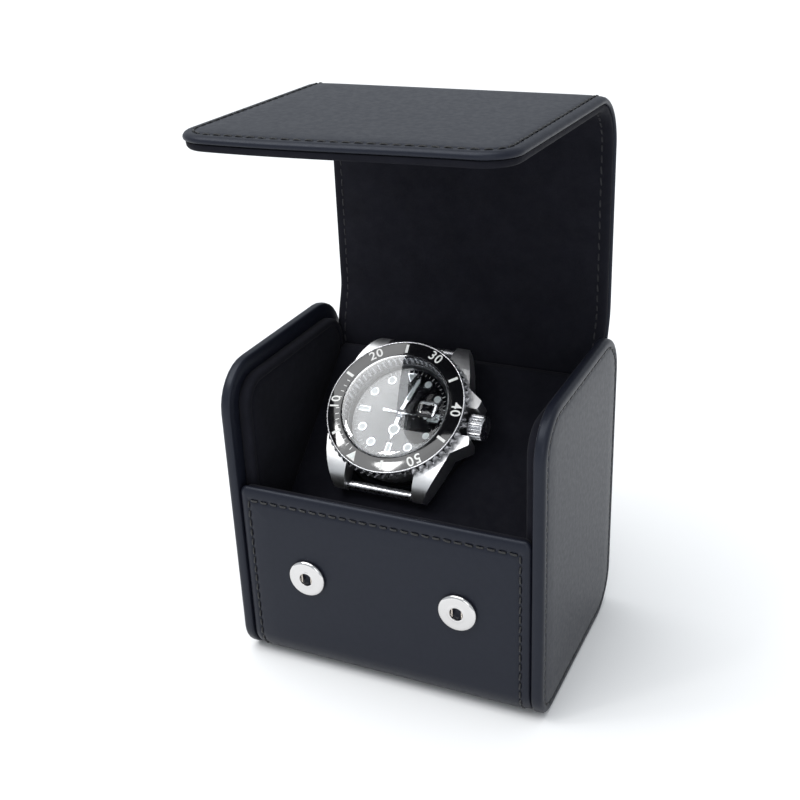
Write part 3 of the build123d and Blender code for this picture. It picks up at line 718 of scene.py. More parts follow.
leather_profile = [(PAD_MIDDLE, 0.02), (2.0, 0.02), (0.5, 0.0), (0.16, 0.14), (0.0, 0.42), (0.0, 0.74),
                   (0.1, 1.08), (0.36, 1.42), (0.8, 1.72), (STRIP_GROOVE - 1.0, 1.92),
                   (STRIP_GROOVE - 0.5, 1.9), (STRIP_GROOVE - 0.22, 1.72), (STRIP_GROOVE, 1.64),
                   (STRIP_GROOVE + 0.22, 1.74), (STRIP_GROOVE + 0.6, 1.94), (STRIP_GROOVE + 1.5, 2.06),
                   (PAD_MIDDLE, LAYER)]
lining_profile = [(PAD_MIDDLE, 0.06), (1.6, 0.06), (0.5, 0.06), (0.12, 0.3), (0.0, 0.8), (0.1, 1.45),
                  (0.5, 1.95), (1.2, LAYER), (STRIP_GROOVE - 0.4, 2.08), (STRIP_GROOVE, 1.94),
                  (STRIP_GROOVE + 0.4, 2.06), (PAD_MIDDLE, LAYER)]


def strip_layer(name, outer, first):
    """One piece of the strip: its first half (case and lower lid) or its second (upper lid and flap)."""
    if outer:
        half, gap, profile, slot = FLAP_HALF, 0.0, leather_profile, "leather"
        material, thread_material, height = LEATHER, THREAD, 1.88
    else:
        half, gap, profile, slot = FLAP_HALF - 0.5, 0.35, lining_profile, "microfibre"
        material, thread_material, height = LINING, LINING_THREAD, 1.9
    if first:
        rect, open_ends, radii, end_extra = (-half, half, gap, SEAM), ("s1",), (2.2, 0, 0, 2.2), 1.2
        along = stations(gap + 9, SEAM - 0.5)
    else:
        end = strip.length - gap
        rect, open_ends, end_extra = (-half, half, SEAM, end), ("s0",), 0.0
        radii = (0, FLAP_CORNER_R, FLAP_CORNER_R, 0)
        along = stations(SEAM + 0.5, end - 10)
    pad = Pad(rect, radii, profile, along, 16, open_ends, end_extra)
    place = strip_place(outer)
    verts, faces = pad.build(place)
    if outer:
        faces = [f[::-1] for f in faces]
    piece = new_piece(name, verts, faces, None, slot, material)
    line, walls = pad.ring(STRIP_GROOVE)
    start = (walls.index(False) + walls.count(False)) % len(line)
    open_line = [line[(start + k) % len(line)] for k in range(walls.count(True) + 1)]
    thread = new_piece(name + "_stitches", *stitch_run(open_line, place, height), None, slot,
                       thread_material)
    return piece, thread


FOLD_START = (0, BACK * MM, BACK_TOP * MM)
FOLD_END = (0, LID_BACK * MM, LID_LOW * MM)
BEND_START = (0, LID_BACK * MM, BEND_Z * MM)
BEND_END = (0, BEND_Y * MM, TOP * MM)
strip_pieces = {}
for outer, word in ((True, "leather"), (False, "lining")):
    for first, part in ((True, "wall"), (False, "flap")):
        strip_pieces[part, word] = strip_layer(f"{part}_{word}", outer, first)
        for piece in strip_pieces[part, word]:
            if first:
                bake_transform(piece, "case", "lid", FOLD_START, FOLD_END)
            else:
                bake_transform(piece, "lid", "flap", BEND_START, BEND_END)
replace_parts(strip_pieces["wall", "leather"][0], "wrap_leather", "lid_fold_leather", "lid_leather",
            "front_board", "base_board", "back_board")
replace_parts(strip_pieces["wall", "lining"][0], "front_lining", "back_lining", "base_lining",
            "lid_fold_lining", "lid_lining")
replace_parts(strip_pieces["flap", "leather"][0], "flap_leather", "flap_bend_leather", "flap_board",
            "lid_board")
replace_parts(strip_pieces["flap", "lining"][0], "flap_lining", "flap_bend_lining")

# ---- moulded parts with softened edges


def softened(node, width):
    """The CAD node's shape with its sharp edges rounded off, standing for that node."""
    source = nodes[node]
    mesh = source.data.copy()
    mesh.transform(source.matrix_world)
    work = bmesh.new()
    work.from_mesh(mesh)
    bmesh.ops.remove_doubles(work, verts=work.verts, dist=0.000002)
    bmesh.ops.dissolve_limit(work, angle_limit=math.radians(1.0), verts=work.verts, edges=work.edges)
    work.to_mesh(mesh)
    work.free()
    obj = bpy.data.objects.new(node + "_moulded", mesh)
    bpy.context.scene.collection.objects.link(obj)
    bevel = obj.modifiers.new("softened", "BEVEL")
    bevel.width = width * MM
    bevel.segments = 3
    bevel.limit_method = "ANGLE"
    bevel.angle_limit = math.radians(35)
    bevel.use_clamp_overlap = True
    bevel.miter_outer = "MITER_ARC"
    mesh.polygons.foreach_set("use_smooth", [True] * len(mesh.polygons))
    mesh.set_sharp_from_angle(angle=math.radians(45))
    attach(obj, body_of(source)[0])
    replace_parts(obj, node)


for node, width in (("face_plate", 0.7), ("cheek_left", 0.3), ("cheek_right", 0.3), ("gear_plate", 0.4),
                    ("switch_housing", 0.35), ("switch_rocker", 0.35), ("power_inlet", 0.3)):
    softened(node, width)

# ---- winder and watch frames

AXIS = Vector(joints["cup_spin"]["axis"]).normalized()
WINDER_AT = Vector(joints["cup_spin"]["pos_m"]) / MM
ACROSS = Vector((1, 0, 0))
UPHILL = AXIS.cross(ACROSS)
BAR_DEPTH = 9.6                 # spring bars, below the bezel plane
bar_low, bar_high = edges("watch_spring_bars")
WATCH_AT = (bar_low + bar_high) / 2 + AXIS * BAR_DEPTH
CROWN_AXIS_Z = -6.6
BAR_Y = 22.9


def winder_place(x, y, z):
    return WINDER_AT + ACROSS * x + UPHILL * y + AXIS * z


def watch_place(x, y, z):
    return WATCH_AT + ACROSS * x + UPHILL * y + AXIS * z


def crown_place(x, y, z):
    """Crown and stem frame: z runs out along the crown's axis, to the right."""
    return watch_place(z, x, y + CROWN_AXIS_Z)


def turned_piece(name, profile, place, body, slot, material, node, segments, radius_at=None, sharp=32):
    """Lathe piece that stands for a CAD node."""
    piece = new_piece(name, *lathe(profile, place, segments, radius_at), body, slot, material, sharp)
    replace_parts(piece, node)


def flat_piece(outline, place, low, high, bevel=0.0):
    """Vertices and faces of a closed (x, y) outline between two heights, with a small bevel at its top."""
    centre = (sum(p[0] for p in outline) / len(outline), sum(p[1] for p in outline) / len(outline))
    levels = [(0.0, low), (0.0, high - bevel), (bevel, high)] if bevel else [(0.0, low), (0.0, high)]
    verts, faces = [], []
    for inset, z in levels:
        for x, y in outline:
            reach = math.dist((x, y), centre) or 1.0
            keep = max(0.0, 1.0 - inset / reach)
            verts.append(place(lerp(centre[0], x, keep), lerp(centre[1], y, keep), z))
    n = len(outline)
    for level in range(len(levels) - 1):
        for k in range(n):
            m = (k + 1) % n
            faces.append((level * n + k, level * n + m, (level + 1) * n + m, (level + 1) * n + k))
    faces.append(tuple(reversed(range(n))))
    faces.append(tuple(range((len(levels) - 1) * n, len(levels) * n)))
    return verts, faces


def circle(radius, centre=(0.0, 0.0), count=32):
    return [(centre[0] + radius * math.cos(2 * math.pi * k / count),
             centre[1] + radius * math.sin(2 * math.pi * k / count)) for k in range(count)]


def clockwise(degrees, radius):
    """Point on the dial at an angle clockwise from 12."""
    angle = math.radians(degrees)
    return (radius * math.sin(angle), radius * math.cos(angle))


def turned_outline(points, degrees, radius=0.0):
    """Outline drawn with +y outward, moved out by radius and turned clockwise from 12."""
    angle = math.radians(degrees)
    return [(x * math.cos(angle) + (y + radius) * math.sin(angle),
             -x * math.sin(angle) + (y + radius) * math.cos(angle)) for x, y in points]


def block(x0, y0, x1, y1):
    """Outline of a rectangle."""
    return [(x0, y0), (x1, y0), (x1, y1), (x0, y1)]


def small_piece(name, body, material, *meshes, slot="hands"):
    """Marks, frames or hands made of several small shapes."""
    return new_piece(name, *merge(*meshes), body, slot, material, 30)


# ---- bezel and insert

BEZEL_R, BORE_R, INSERT_R = 21.7, 16.5, 20.6
BEZEL_T = 3.2
SCALLOPS, SCALLOP_DEPTH = 60, 0.85
SCALLOP_SEGMENTS = 14


def notch(angle, count, power=1.0):
    """Depth, from 0 to 1, of one of count notches round a circle."""
    phase = (angle * count / (2 * math.pi)) % 1.0
    return max(0.0, 1.0 - (abs(phase - 0.5) / 0.4) ** 2) ** power


def coin_edge(r, z, angle):
    """Radius of the bezel's scalloped edge. The notches cut the lower edge of its bore as well."""
    grip = min(1.0, max(0.0, (-0.45 - z) / 1.1))
    return r - grip * notch(angle, SCALLOPS, 0.8) * SCALLOP_DEPTH


bezel_profile = [(BORE_R, -BEZEL_T), (BEZEL_R - 1.3, -BEZEL_T), (BEZEL_R - 0.9, -BEZEL_T + 0.1),
                 (BEZEL_R - 0.3, -BEZEL_T + 0.3), (BEZEL_R - 0.02, -BEZEL_T + 0.7), (BEZEL_R, -1.7),
                 (BEZEL_R - 0.2, -1.2), (BEZEL_R - 0.42, -0.78), (BEZEL_R - 0.6, -0.46),
                 (BEZEL_R - 0.72, -0.24), (BEZEL_R - 0.88, -0.11), (INSERT_R + 0.14, -0.1),
                 (INSERT_R + 0.03, -0.14), (INSERT_R, -0.26),
                 (INSERT_R, -0.66), (BORE_R, -0.36)]
turned_piece("bezel_coin_edge", bezel_profile, watch_place, "bezel", "watch_steel", TURNED, "watch_bezel",
             SCALLOPS * SCALLOP_SEGMENTS, coin_edge, 50)
insert_face = [(INSERT_R - 0.12, -0.22), (19.4, -0.11), (18.0, 0.0), (BORE_R + 0.3, 0.09)]
insert_profile = [(BORE_R, -0.33), (INSERT_R - 0.04, -0.62), (INSERT_R - 0.04, -0.3)]
insert_profile += insert_face + [(BORE_R + 0.08, 0.07), (BORE_R, -0.02)]
turned_piece("bezel_insert", insert_profile, watch_place, "bezel", "ceramic", CERAMIC,
             "watch_bezel_insert", 256)


def insert_height(r):
    """Height of the insert's face at a radius."""
    steps = insert_face[::-1]
    for (r0, z0), (r1, z1) in zip(steps, steps[1:]):
        if r <= r1:
            return lerp(z0, z1, (max(r, r0) - r0) / (r1 - r0))
    return steps[-1][1]


def on_insert(x, y, z):
    return watch_place(x, y, insert_height(math.hypot(x, y)) + z)


def numeral(text, size, degrees, radius, place, low, high, weight):
    """Raised characters with their tops outward, as a mesh."""
    curve = bpy.data.curves.new("numeral_" + text, "FONT")
    curve.body = text
    curve.size = size
    curve.align_x, curve.align_y = "CENTER", "CENTER"
    curve.extrude = (high - low) / 2
    curve.offset = weight
    curve.resolution_u = 6
    curve.space_character = 1.12
    holder = bpy.data.objects.new("numeral_" + text, curve)
    bpy.context.scene.collection.objects.link(holder)
    bpy.context.view_layer.update()
    mesh = bpy.data.meshes.new_from_object(holder.evaluated_get(bpy.context.evaluated_depsgraph_get()))
    bpy.data.objects.remove(holder)
    bpy.data.curves.remove(curve)
    work = bmesh.new()
    work.from_mesh(mesh)
    bmesh.ops.remove_doubles(work, verts=work.verts, dist=0.0001)
    work.verts.ensure_lookup_table()
    flat = turned_outline([(v.co.x, v.co.y) for v in work.verts], degrees, radius)
    verts = [place(x, y, (low + high) / 2 + v.co.z) for (x, y), v in zip(flat, work.verts)]
    faces = [tuple(v.index for v in f.verts) for f in work.faces]
    work.free()
    bpy.data.meshes.remove(mesh)
    return verts, faces


ZERO_AT = 204.5                  # where the bezel's zero mark stands, clockwise from 12
MARK_LOW, MARK_HIGH = -0.12, 0.025
INSERT_MIDDLE = 18.6
INSERT_SLOPE = 0.0786            # fall of the insert outward
marks = []
bar = block(-0.42, -1.4, 0.42, 1.4)
tick = block(-0.11, -0.55, 0.11, 0.55)
triangle = [(-1.6, 1.4), (0.0, -1.4), (1.6, 1.4)]
for minute in range(5, 60, 5):
    degrees = ZERO_AT + 6 * minute
    if minute % 10 == 0:
        marks.append(numeral(str(minute), 4.1, degrees, INSERT_MIDDLE, on_insert, MARK_LOW, MARK_HIGH,
                             0.05))
    else:
        marks.append(flat_piece(turned_outline(bar, degrees, INSERT_MIDDLE), on_insert, MARK_LOW, MARK_HIGH))
for minute in range(1, 15):
    if minute % 5:
        outline = turned_outline(tick, ZERO_AT + 6 * minute, 17.6)
        marks.append(flat_piece(outline, on_insert, MARK_LOW, MARK_HIGH))
small_piece("bezel_marks", "bezel", MARK, *marks)
small_piece("bezel_triangle", "bezel", MARK,
            flat_piece(turned_outline(triangle, ZERO_AT, INSERT_MIDDLE), on_insert, MARK_LOW, 0.03))
lume_dot = circle(0.85, clockwise(ZERO_AT, INSERT_MIDDLE + 0.35))
small_piece("bezel_lume_dot", "bezel", LUME, flat_piece(lume_dot, on_insert, -0.1, 0.16, 0.15))

# ---- dial

DIAL_Z = -3.1
DIAL_SINK = DIAL_Z - 0.05        # marks start just below the dial's face
DIAL_R = 15.0
MARKER_R, TRACK_R = 12.0, 14.05
surrounds, fills = [], []


def applied(outline, inner):
    """An applied marker: polished surround with pale fill standing just above it."""
    surrounds.append(flat_piece(outline, watch_place, DIAL_SINK, DIAL_Z + 0.26, 0.07))
    fills.append(flat_piece(inner, watch_place, DIAL_Z, DIAL_Z + 0.31, 0.05))


for hour in range(12):
    degrees = 30 * hour
    if hour == 0:
        applied(turned_outline([(-1.75, 1.5), (0, -1.7), (1.75, 1.5)], degrees, MARKER_R),
                turned_outline([(-1.28, 1.2), (0, -1.15), (1.28, 1.2)], degrees, MARKER_R))
    elif hour in (6, 9):
        applied(turned_outline(block(-0.85, -2.0, 0.85, 2.0), degrees, MARKER_R - 0.2),
                turned_outline(block(-0.6, -1.75, 0.6, 1.75), degrees, MARKER_R - 0.2))
    elif hour != 3:
        applied(circle(1.4, clockwise(degrees, MARKER_R)), circle(1.1, clockwise(degrees, MARKER_R)))
small_piece("dial_marker_surrounds", "watch", POLISHED, *surrounds)
small_piece("dial_marker_fills", "watch", LUME, *fills)
track = []
for minute in range(60):
    wide, long = (0.13, 0.5) if minute % 5 == 0 else (0.06, 0.38)
    outline = turned_outline(block(-wide, -long, wide, long), 6 * minute, TRACK_R)
    track.append(flat_piece(outline, watch_place, DIAL_SINK, DIAL_Z + 0.02))
small_piece("dial_minute_track", "watch", MARK, *track)
DATE_X = 10.9
window = block(DATE_X - 1.75, -1.3, DATE_X + 1.75, 1.3)
small_piece("date_disc", "watch", LUME, flat_piece(window, watch_place, DIAL_SINK, DIAL_Z + 0.05))


def date_place(x, y, z):
    return watch_place(x + DATE_X, y, z)


small_piece("date_number", "watch", DIAL,
            numeral("15", 2.2, 0, 0, date_place, DIAL_Z, DIAL_Z + 0.08, 0.01), slot="dial")
frame_bars = []
for x0, y0, x1, y1 in ((-2.0, -1.55, 2.0, -1.3), (-2.0, 1.3, 2.0, 1.55), (-2.0, -1.3, -1.75, 1.3),
                       (1.75, -1.3, 2.0, 1.3)):
    bar = block(DATE_X + x0, y0, DATE_X + x1, y1)
    frame_bars.append(flat_piece(bar, watch_place, DIAL_SINK, DIAL_Z + 0.2, 0.03))
small_piece("date_frame", "watch", POLISHED, *frame_bars)

# ---- hands

HOUR_AT, MINUTE_AT, SECOND_AT = 181.0, 15.0, 93.0
HOUR_Z, MINUTE_Z, SECOND_Z = -2.85, -2.5, -2.15
HAND_T = 0.15
POST_LOW = DIAL_Z - 1.2
HUB_TOP = HAND_T + 0.1           # the next hand's post starts this far above a hand's underside


def hand(body, degrees, height, low, metal, lume, hub, post_r):
    """A hand with its hub and a post down to low, and its pale fill as a second piece."""
    parts = [flat_piece(turned_outline(outline, degrees), watch_place, height, height + HAND_T, 0.05)
             for outline in metal]
    hub_profile = [(0, low), (post_r, low), (post_r, height), (hub, height), (hub, height + HAND_T - 0.02),
                   (hub - 0.15, height + HAND_T + 0.07), (0, height + HAND_T + 0.09)]
    parts.append(lathe(hub_profile, watch_place, 40))
    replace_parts(small_piece(body, body, POLISHED, *parts), "watch_" + body)
    fills = [flat_piece(turned_outline(outline, degrees), watch_place, height + 0.02,
                        height + HAND_T + 0.05, 0.04) for outline in lume]
    small_piece(body + "_fill", body, LUME, *fills)


DISC_Y, LOLLIPOP_Y = 5.4, 8.8
hour_stem = block(-0.55, -1.2, 0.55, DISC_Y - 1.4)
hour_tip = [(-0.62, DISC_Y + 1.3), (0.62, DISC_Y + 1.3), (0.5, 7.2), (0.0, 8.7), (-0.5, 7.2)]
hand("hour_hand", HOUR_AT, HOUR_Z, POST_LOW, [hour_stem, circle(1.75, (0, DISC_Y)), hour_tip],
     [circle(1.42, (0, DISC_Y))], 1.45, 1.0)
sword = [(-0.5, -1.2), (0.5, -1.2), (0.5, 3.6), (0.78, 4.2), (0.78, 11.2), (0.0, 13.2), (-0.78, 11.2),
         (-0.78, 4.2), (-0.5, 3.6)]
sword_fill = [(-0.5, 4.5), (0.5, 4.5), (0.5, 11.0), (0.0, 12.2), (-0.5, 11.0)]
hand("minute_hand", MINUTE_AT, MINUTE_Z, HOUR_Z + HUB_TOP, [sword], [sword_fill], 1.25, 0.7)
needle = block(-0.17, -4.6, 0.17, 8.1)
needle_tip = [(-0.13, 9.5), (0.13, 9.5), (0.07, 13.2), (-0.07, 13.2)]
balance = block(-0.4, -5.4, 0.4, -2.9)
hand("second_hand", SECOND_AT, SECOND_Z, MINUTE_Z + HUB_TOP,
     [needle, needle_tip, balance, circle(0.95, (0, LOLLIPOP_Y))], [circle(0.68, (0, LOLLIPOP_Y))], 0.8, 0.4)

# ---- rehaut, crystal, crown and spring bars

CASE_TOP = -BEZEL_T - 0.1
CRYSTAL_LOW, CRYSTAL_TOP = CASE_TOP + 1.7, 0.5
RIM_Z = CRYSTAL_LOW - 0.02
rehaut_profile = [(DIAL_R + 0.85, DIAL_Z), (DIAL_R + 0.85, RIM_Z), (DIAL_R + 0.65, RIM_Z),
                  (DIAL_R - 0.05, DIAL_Z + 0.12), (DIAL_R - 0.05, DIAL_Z)]
turned_piece("rehaut_ring", rehaut_profile, watch_place, "watch", "watch_steel", SATIN, "watch_rehaut", 192)
GLASS_R = BORE_R - 0.1
GLASS_FLAT_R = GLASS_R - 0.5
GLASS_DOME_R = 260.0             # the crystal is very gently domed


def dome(r):
    """How far the crystal's face stands above its rim."""
    return (GLASS_FLAT_R ** 2 - r ** 2) / (2 * GLASS_DOME_R)


crystal_profile = [(0, CRYSTAL_LOW), (GLASS_R - 0.3, CRYSTAL_LOW), (GLASS_R - 0.1, CRYSTAL_LOW),
                   (GLASS_R, CRYSTAL_LOW + 0.1), (GLASS_R, CRYSTAL_TOP - 0.35),
                   (GLASS_R - 0.08, CRYSTAL_TOP - 0.2), (GLASS_R - 0.3, CRYSTAL_TOP - 0.04)]
for step in range(13):
    ring_r = GLASS_FLAT_R * (1 - step / 12)
    crystal_profile.append((ring_r, CRYSTAL_TOP + dome(ring_r)))
turned_piece("crystal_glass", crystal_profile, watch_place, "watch", "crystal", GLASS, "watch_crystal", 192)

LENS_X, LENS_TOP = 10.6, 1.3


def lens_outline(shrink):
    """Rounded square of the date lens, made smaller by shrink."""
    half_x, half_y, corner = 2.8 - shrink, 2.4 - shrink, max(1.2 - shrink, 0.3)
    points = []
    for cx, cy, start in ((1, 1, 0), (-1, 1, 90), (-1, -1, 180), (1, -1, 270)):
        for k in range(7):
            angle = math.radians(start + 15 * k)
            points.append((LENS_X + cx * (half_x - corner) + corner * math.cos(angle),
                           cy * (half_y - corner) + corner * math.sin(angle)))
    return points


def lens_dome():
    """Domed date lens standing on the crystal."""
    verts, faces = [], []
    steps = ((0.0, 0.0), (0.0, 0.25), (0.1, 0.42), (0.35, 0.58), (0.8, 0.7), (1.4, 0.78))
    levels = [(shrink, CRYSTAL_TOP + rise) for shrink, rise in steps]
    count = len(lens_outline(0.0))
    for shrink, z in levels:
        verts += [watch_place(x, y, z + dome(math.hypot(x, y))) for x, y in lens_outline(shrink)]
    for level in range(len(levels) - 1):
        for k in range(count):
            m = (k + 1) % count
            faces.append((level * count + k, level * count + m, (level + 1) * count + m,
                          (level + 1) * count + k))
    faces.append(tuple(reversed(range(count))))
    top = len(verts)
    verts.append(watch_place(LENS_X, 0, LENS_TOP + dome(LENS_X)))
    start = (len(levels) - 1) * count
    faces += [(start + k, start + (k + 1) % count, top) for k in range(count)]
    return verts, faces


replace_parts(new_piece("date_lens_dome", *lens_dome(), "watch", "crystal", GLASS, 60), "watch_date_lens")

CROWN_R, CROWN_LOW, CROWN_HIGH = 3.7, 21.8, 26.8
CROWN_FLUTES = 22


def flutes(r, z, angle):
    """Radius of the crown's fluted grip."""
    grip = min(1.0, max(0.0, (r - 3.0) / 0.4)) * (1.0 if z < CROWN_HIGH - 0.75 else 0.0)
    return r - grip * notch(angle, CROWN_FLUTES) * 0.36


crown_profile = [(0, CROWN_HIGH), (2.6, CROWN_HIGH - 0.02), (CROWN_R - 0.42, CROWN_HIGH - 0.12),
                 (CROWN_R - 0.1, CROWN_HIGH - 0.4), (CROWN_R - 0.02, CROWN_HIGH - 0.72),
                 (CROWN_R - 0.06, CROWN_HIGH - 0.8), (CROWN_R, CROWN_HIGH - 1.1), (CROWN_R, CROWN_LOW + 0.45),
                 (CROWN_R - 0.12, CROWN_LOW + 0.16), (CROWN_R - 0.5, CROWN_LOW), (1.1, CROWN_LOW),
                 (1.1, CROWN_HIGH - 2.6), (0, CROWN_HIGH - 2.6)]
turned_piece("crown_fluted", crown_profile, crown_place, "crown", "watch_steel", TURNED, "watch_crown",
             CROWN_FLUTES * 12, flutes, 50)

LUG_GAP = 21.4
bar_half = LUG_GAP / 2
bars = []
bar_profile = [(0, -bar_half), (0.76, -bar_half), (0.84, -bar_half + 0.12), (0.84, -bar_half + 0.72),
               (1.25, -bar_half + 0.8), (1.4, -bar_half + 0.95), (1.4, -bar_half + 1.7),
               (1.31, -bar_half + 1.8), (1.31, -bar_half + 2.0), (1.4, -bar_half + 2.1), (1.4, 0)]
bar_profile += [(r, -z) for r, z in reversed(bar_profile[:-1])]
for side in (-1, 1):
    bars.append(lathe(bar_profile, lambda x, y, z: watch_place(z, x + side * BAR_Y, y - BAR_DEPTH), 40))
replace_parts(new_piece("spring_bars_turned", *merge(*bars), "watch", "watch_steel", TURNED, 35),
            "watch_spring_bars")

# ---- press snaps

SNAP_X, SNAP_Z, SNAP_R = 23.0, 32.0, 5.6
SOCKET_NECK_R, POST_HOLE_R = 2.6, 1.9
socket_profile = [(POST_HOLE_R, -2.1), (SOCKET_NECK_R, -2.1), (SOCKET_NECK_R, 0.0), (4.95, 0.0), (5.3, 0.08),
                  (5.52, 0.3), (SNAP_R, 0.62), (5.54, 0.95), (5.3, 1.24), (4.9, 1.42), (4.4, 1.47),
                  (3.0, 1.42), (2.72, 1.44), (2.5, 1.57), (2.2, 1.6), (1.98, 1.5), (POST_HOLE_R, 1.3)]
def snap_pair(profile, place, segments):
    """Vertices and faces of the same turned shape at both snaps."""
    return merge(*[lathe(profile, lambda a, b, z: place(x + a, b, z), segments) for x in (-SNAP_X, SNAP_X)])


sockets = snap_pair(socket_profile, lambda a, b, z: Vector((a, FRONT - z, SNAP_Z + b)), 72)
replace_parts(new_piece("snap_socket_caps", *sockets, "case", "nickel", NICKEL, 35), "snap_sockets")
stud_low, stud_high = edges("snap_studs")
STUD_Y = (stud_low.y + stud_high.y) / 2
UNDER = TOP - STRIP
stud_profile = [(0, -3.92), (1.1, -3.92), (1.4, -3.84), (1.5, -3.7), (1.4, -3.56), (1.12, -3.46),
                (1.08, -1.6), (1.3, -1.32), (2.0, -1.2), (3.4, -1.12), (3.85, -0.9), (4.0, -0.55),
                (3.95, -0.15), (3.8, 0.0), (2.6, 0.02), (2.6, 1.5), (0, 1.5)]
studs = snap_pair(stud_profile, lambda a, b, z: Vector((a, STUD_Y + b, UNDER + z)), 64)
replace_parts(new_piece("snap_stud_caps", *studs, "flap", "nickel", NICKEL, 35), "snap_studs")

# ---- cup and cushion

CUP_R, CUP_FLOOR_R, CUP_DEPTH, CUP_WALL = 20.8, 15.0, 12.0, 1.4
CUP_IN_R, FLOOR_IN_R, FLOOR_Z = CUP_R - CUP_WALL, CUP_FLOOR_R - CUP_WALL, -CUP_DEPTH + CUP_WALL
NECK_R, NECK_LOW = 4.4, -15.2
cup_profile = [(0, FLOOR_Z), (FLOOR_IN_R - 1.2, FLOOR_Z), (FLOOR_IN_R, FLOOR_Z + 0.5), (CUP_IN_R - 0.1, -5.2),
               (CUP_IN_R, -4.4), (CUP_IN_R + 0.06, -0.1), (CUP_IN_R + 0.28, 0.26),
               (CUP_R - CUP_WALL / 2, 0.42), (CUP_R - 0.26, 0.26), (CUP_R - 0.03, -0.12), (CUP_R, -0.6),
               (CUP_R, -5.0), (CUP_R - 0.1, -5.4), (CUP_FLOOR_R + 0.5, -CUP_DEPTH + 0.4),
               (CUP_FLOOR_R - 0.3, -CUP_DEPTH), (NECK_R, -CUP_DEPTH), (NECK_R, NECK_LOW), (0, NECK_LOW)]
turned_piece("cup_lined", cup_profile, winder_place, "cup", "microfibre", LINING, "cup", 96)

CUSHION_VOXEL, CUSHION_SWELL = 1.6, 0.45
CLOTH_FRAMES = 20


def bake(obj):
    """Apply an object's modifiers to its mesh."""
    bpy.context.view_layer.update()
    evaluated = obj.evaluated_get(bpy.context.evaluated_depsgraph_get())
    mesh = bpy.data.meshes.new_from_object(evaluated)
    obj.modifiers.clear()
    obj.data = mesh


def inflated(node, name, material):
    """The CAD cushion, swollen a little by cloth simulation under inner pressure."""
    mesh = nodes[node].data.copy()
    mesh.transform(nodes[node].matrix_world)
    obj = bpy.data.objects.new(name, mesh)
    bpy.context.scene.collection.objects.link(obj)
    mesh.materials.clear()
    mesh.materials.append(material)
    remesh = obj.modifiers.new("remesh", "REMESH")
    remesh.mode = "VOXEL"
    remesh.voxel_size = CUSHION_VOXEL * MM
    bake(obj)
    start = [v.co.copy() for v in obj.data.vertices]
    cloth = obj.modifiers.new("cloth", "CLOTH")
    cloth.settings.use_pressure = True
    cloth.settings.uniform_pressure_force = 4.0
    cloth.settings.effector_weights.gravity = 0.0
    for step in range(1, CLOTH_FRAMES + 1):
        bpy.context.scene.frame_set(step)
    bake(obj)
    bpy.context.scene.frame_set(1)
    for vertex, rest in zip(obj.data.vertices, start):
        move = vertex.co - rest
        if move.length > CUSHION_SWELL * MM:
            vertex.co = rest + move.normalized() * CUSHION_SWELL * MM
    divide = obj.modifiers.new("divide", "SUBSURF")
    divide.levels = divide.render_levels = 1
    bake(obj)
    obj.data.polygons.foreach_set("use_smooth", [True] * len(obj.data.polygons))
    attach(obj, body_of(nodes[node])[0])
    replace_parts(obj, node)


inflated("cushion", "cushion_padded", CUSHION)

# ---- stage, light and camera

FLOOR_HALF = 4                   # metres, as everything below
CAMERA_AT, CAMERA_TURN, CAMERA_LENS = (0.12711, -0.28141, 0.22160), (64.853, 2.281, 24.532), 53.93
DIAL_CENTRE = watch_place(0, 0, 0) * MM

floor_mesh = bpy.data.meshes.new("floor")
corners = block(-FLOOR_HALF, -FLOOR_HALF, FLOOR_HALF, FLOOR_HALF)
floor_mesh.from_pydata([(x, y, 0) for x, y in corners], [], [(0, 1, 2, 3)])
floor = bpy.data.objects.new("floor", floor_mesh)
bpy.context.scene.collection.objects.link(floor)
floor_look = Look("pale_floor", (0.86, 0.86, 0.86), 0.75)
floor_look.bump(floor_look.noise(30, 2), 0.0005, 0.05)
floor_mesh.materials.append(floor_look.material)

world = bpy.data.worlds.new("studio")
bpy.context.scene.world = world
world.use_nodes = True
socket(world.node_tree.nodes["Background"], "Color", (0.9, 0.95, 1.0, 1.0))
socket(world.node_tree.nodes["Background"], "Strength", 0.68)


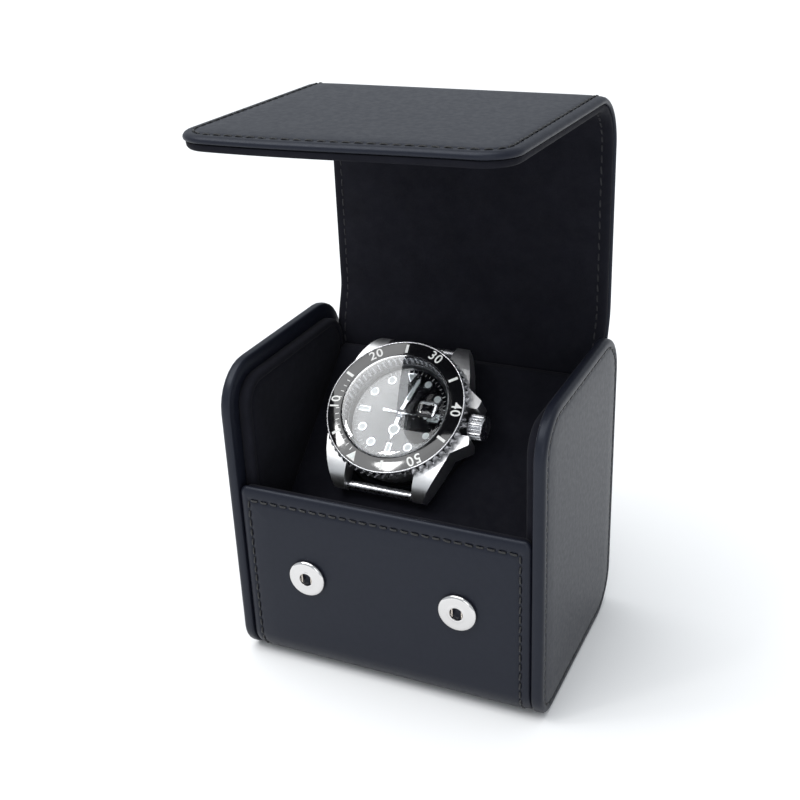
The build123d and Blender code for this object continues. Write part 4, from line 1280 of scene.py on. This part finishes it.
def area_light(name, place, target, size, energy):
    """Soft rectangular light, aimed at a point. Metres and watts."""
    data = bpy.data.lights.new(name, "AREA")
    data.shape = "RECTANGLE"
    data.size, data.size_y = size
    data.energy = energy
    light = bpy.data.objects.new(name, data)
    light.location = place
    light.rotation_euler = (Vector(target) - Vector(place)).to_track_quat("-Z", "Y").to_euler()
    bpy.context.scene.collection.objects.link(light)
    return light


def mirrored(x, y, tilt_x, tilt_y, distance):
    """Where a light must stand for the camera to see it mirrored at a point of the watch, in metres."""
    point = watch_place(x, y, 0) * MM
    normal = (AXIS + ACROSS * tilt_x + UPHILL * tilt_y).normalized()
    view = (Vector(CAMERA_AT) - point).normalized()
    return point + (2 * view.dot(normal) * normal - view) * distance


area_light("crystal_light", mirrored(-3, -3, 0, 0, 0.95), DIAL_CENTRE, (0.46, 0.46), 0.25)
for name, degrees in (("insert_light_low", 168.0), ("insert_light_left", 230.0)):
    x, y = clockwise(degrees, INSERT_MIDDLE)
    tilt_x, tilt_y = clockwise(degrees, INSERT_SLOPE)
    light = area_light(name, mirrored(x, y, tilt_x, tilt_y, 0.8), DIAL_CENTRE, (0.06, 0.06), 0.4)
    light.visible_transmission = False
area_light("side", (0.9, 0.1, 0.6), (0, 0, 0.08), (0.5, 0.7), 0.35)
area_light("front", (0.4, -0.95, 0.42), DIAL_CENTRE, (0.4, 0.4), 1.1)
sun = bpy.data.lights.new("soft_sky", "SUN")
sun.energy = 2.3
sun.angle = math.radians(60)
sky = bpy.data.objects.new("soft_sky", sun)
sky.rotation_euler = Vector((-0.25, -0.2, 0.95)).to_track_quat("Z", "Y").to_euler()
bpy.context.scene.collection.objects.link(sky)

camera_data = bpy.data.cameras.new("camera")
camera_data.lens = CAMERA_LENS
camera_data.sensor_width = 36.0
camera = bpy.data.objects.new("camera", camera_data)
camera.location = CAMERA_AT
camera.rotation_euler = [math.radians(a) for a in CAMERA_TURN]
camera_data.clip_start = 0.01
bpy.context.scene.collection.objects.link(camera)
bpy.context.scene.camera = camera
bpy.context.scene.view_settings.view_transform = "Standard"
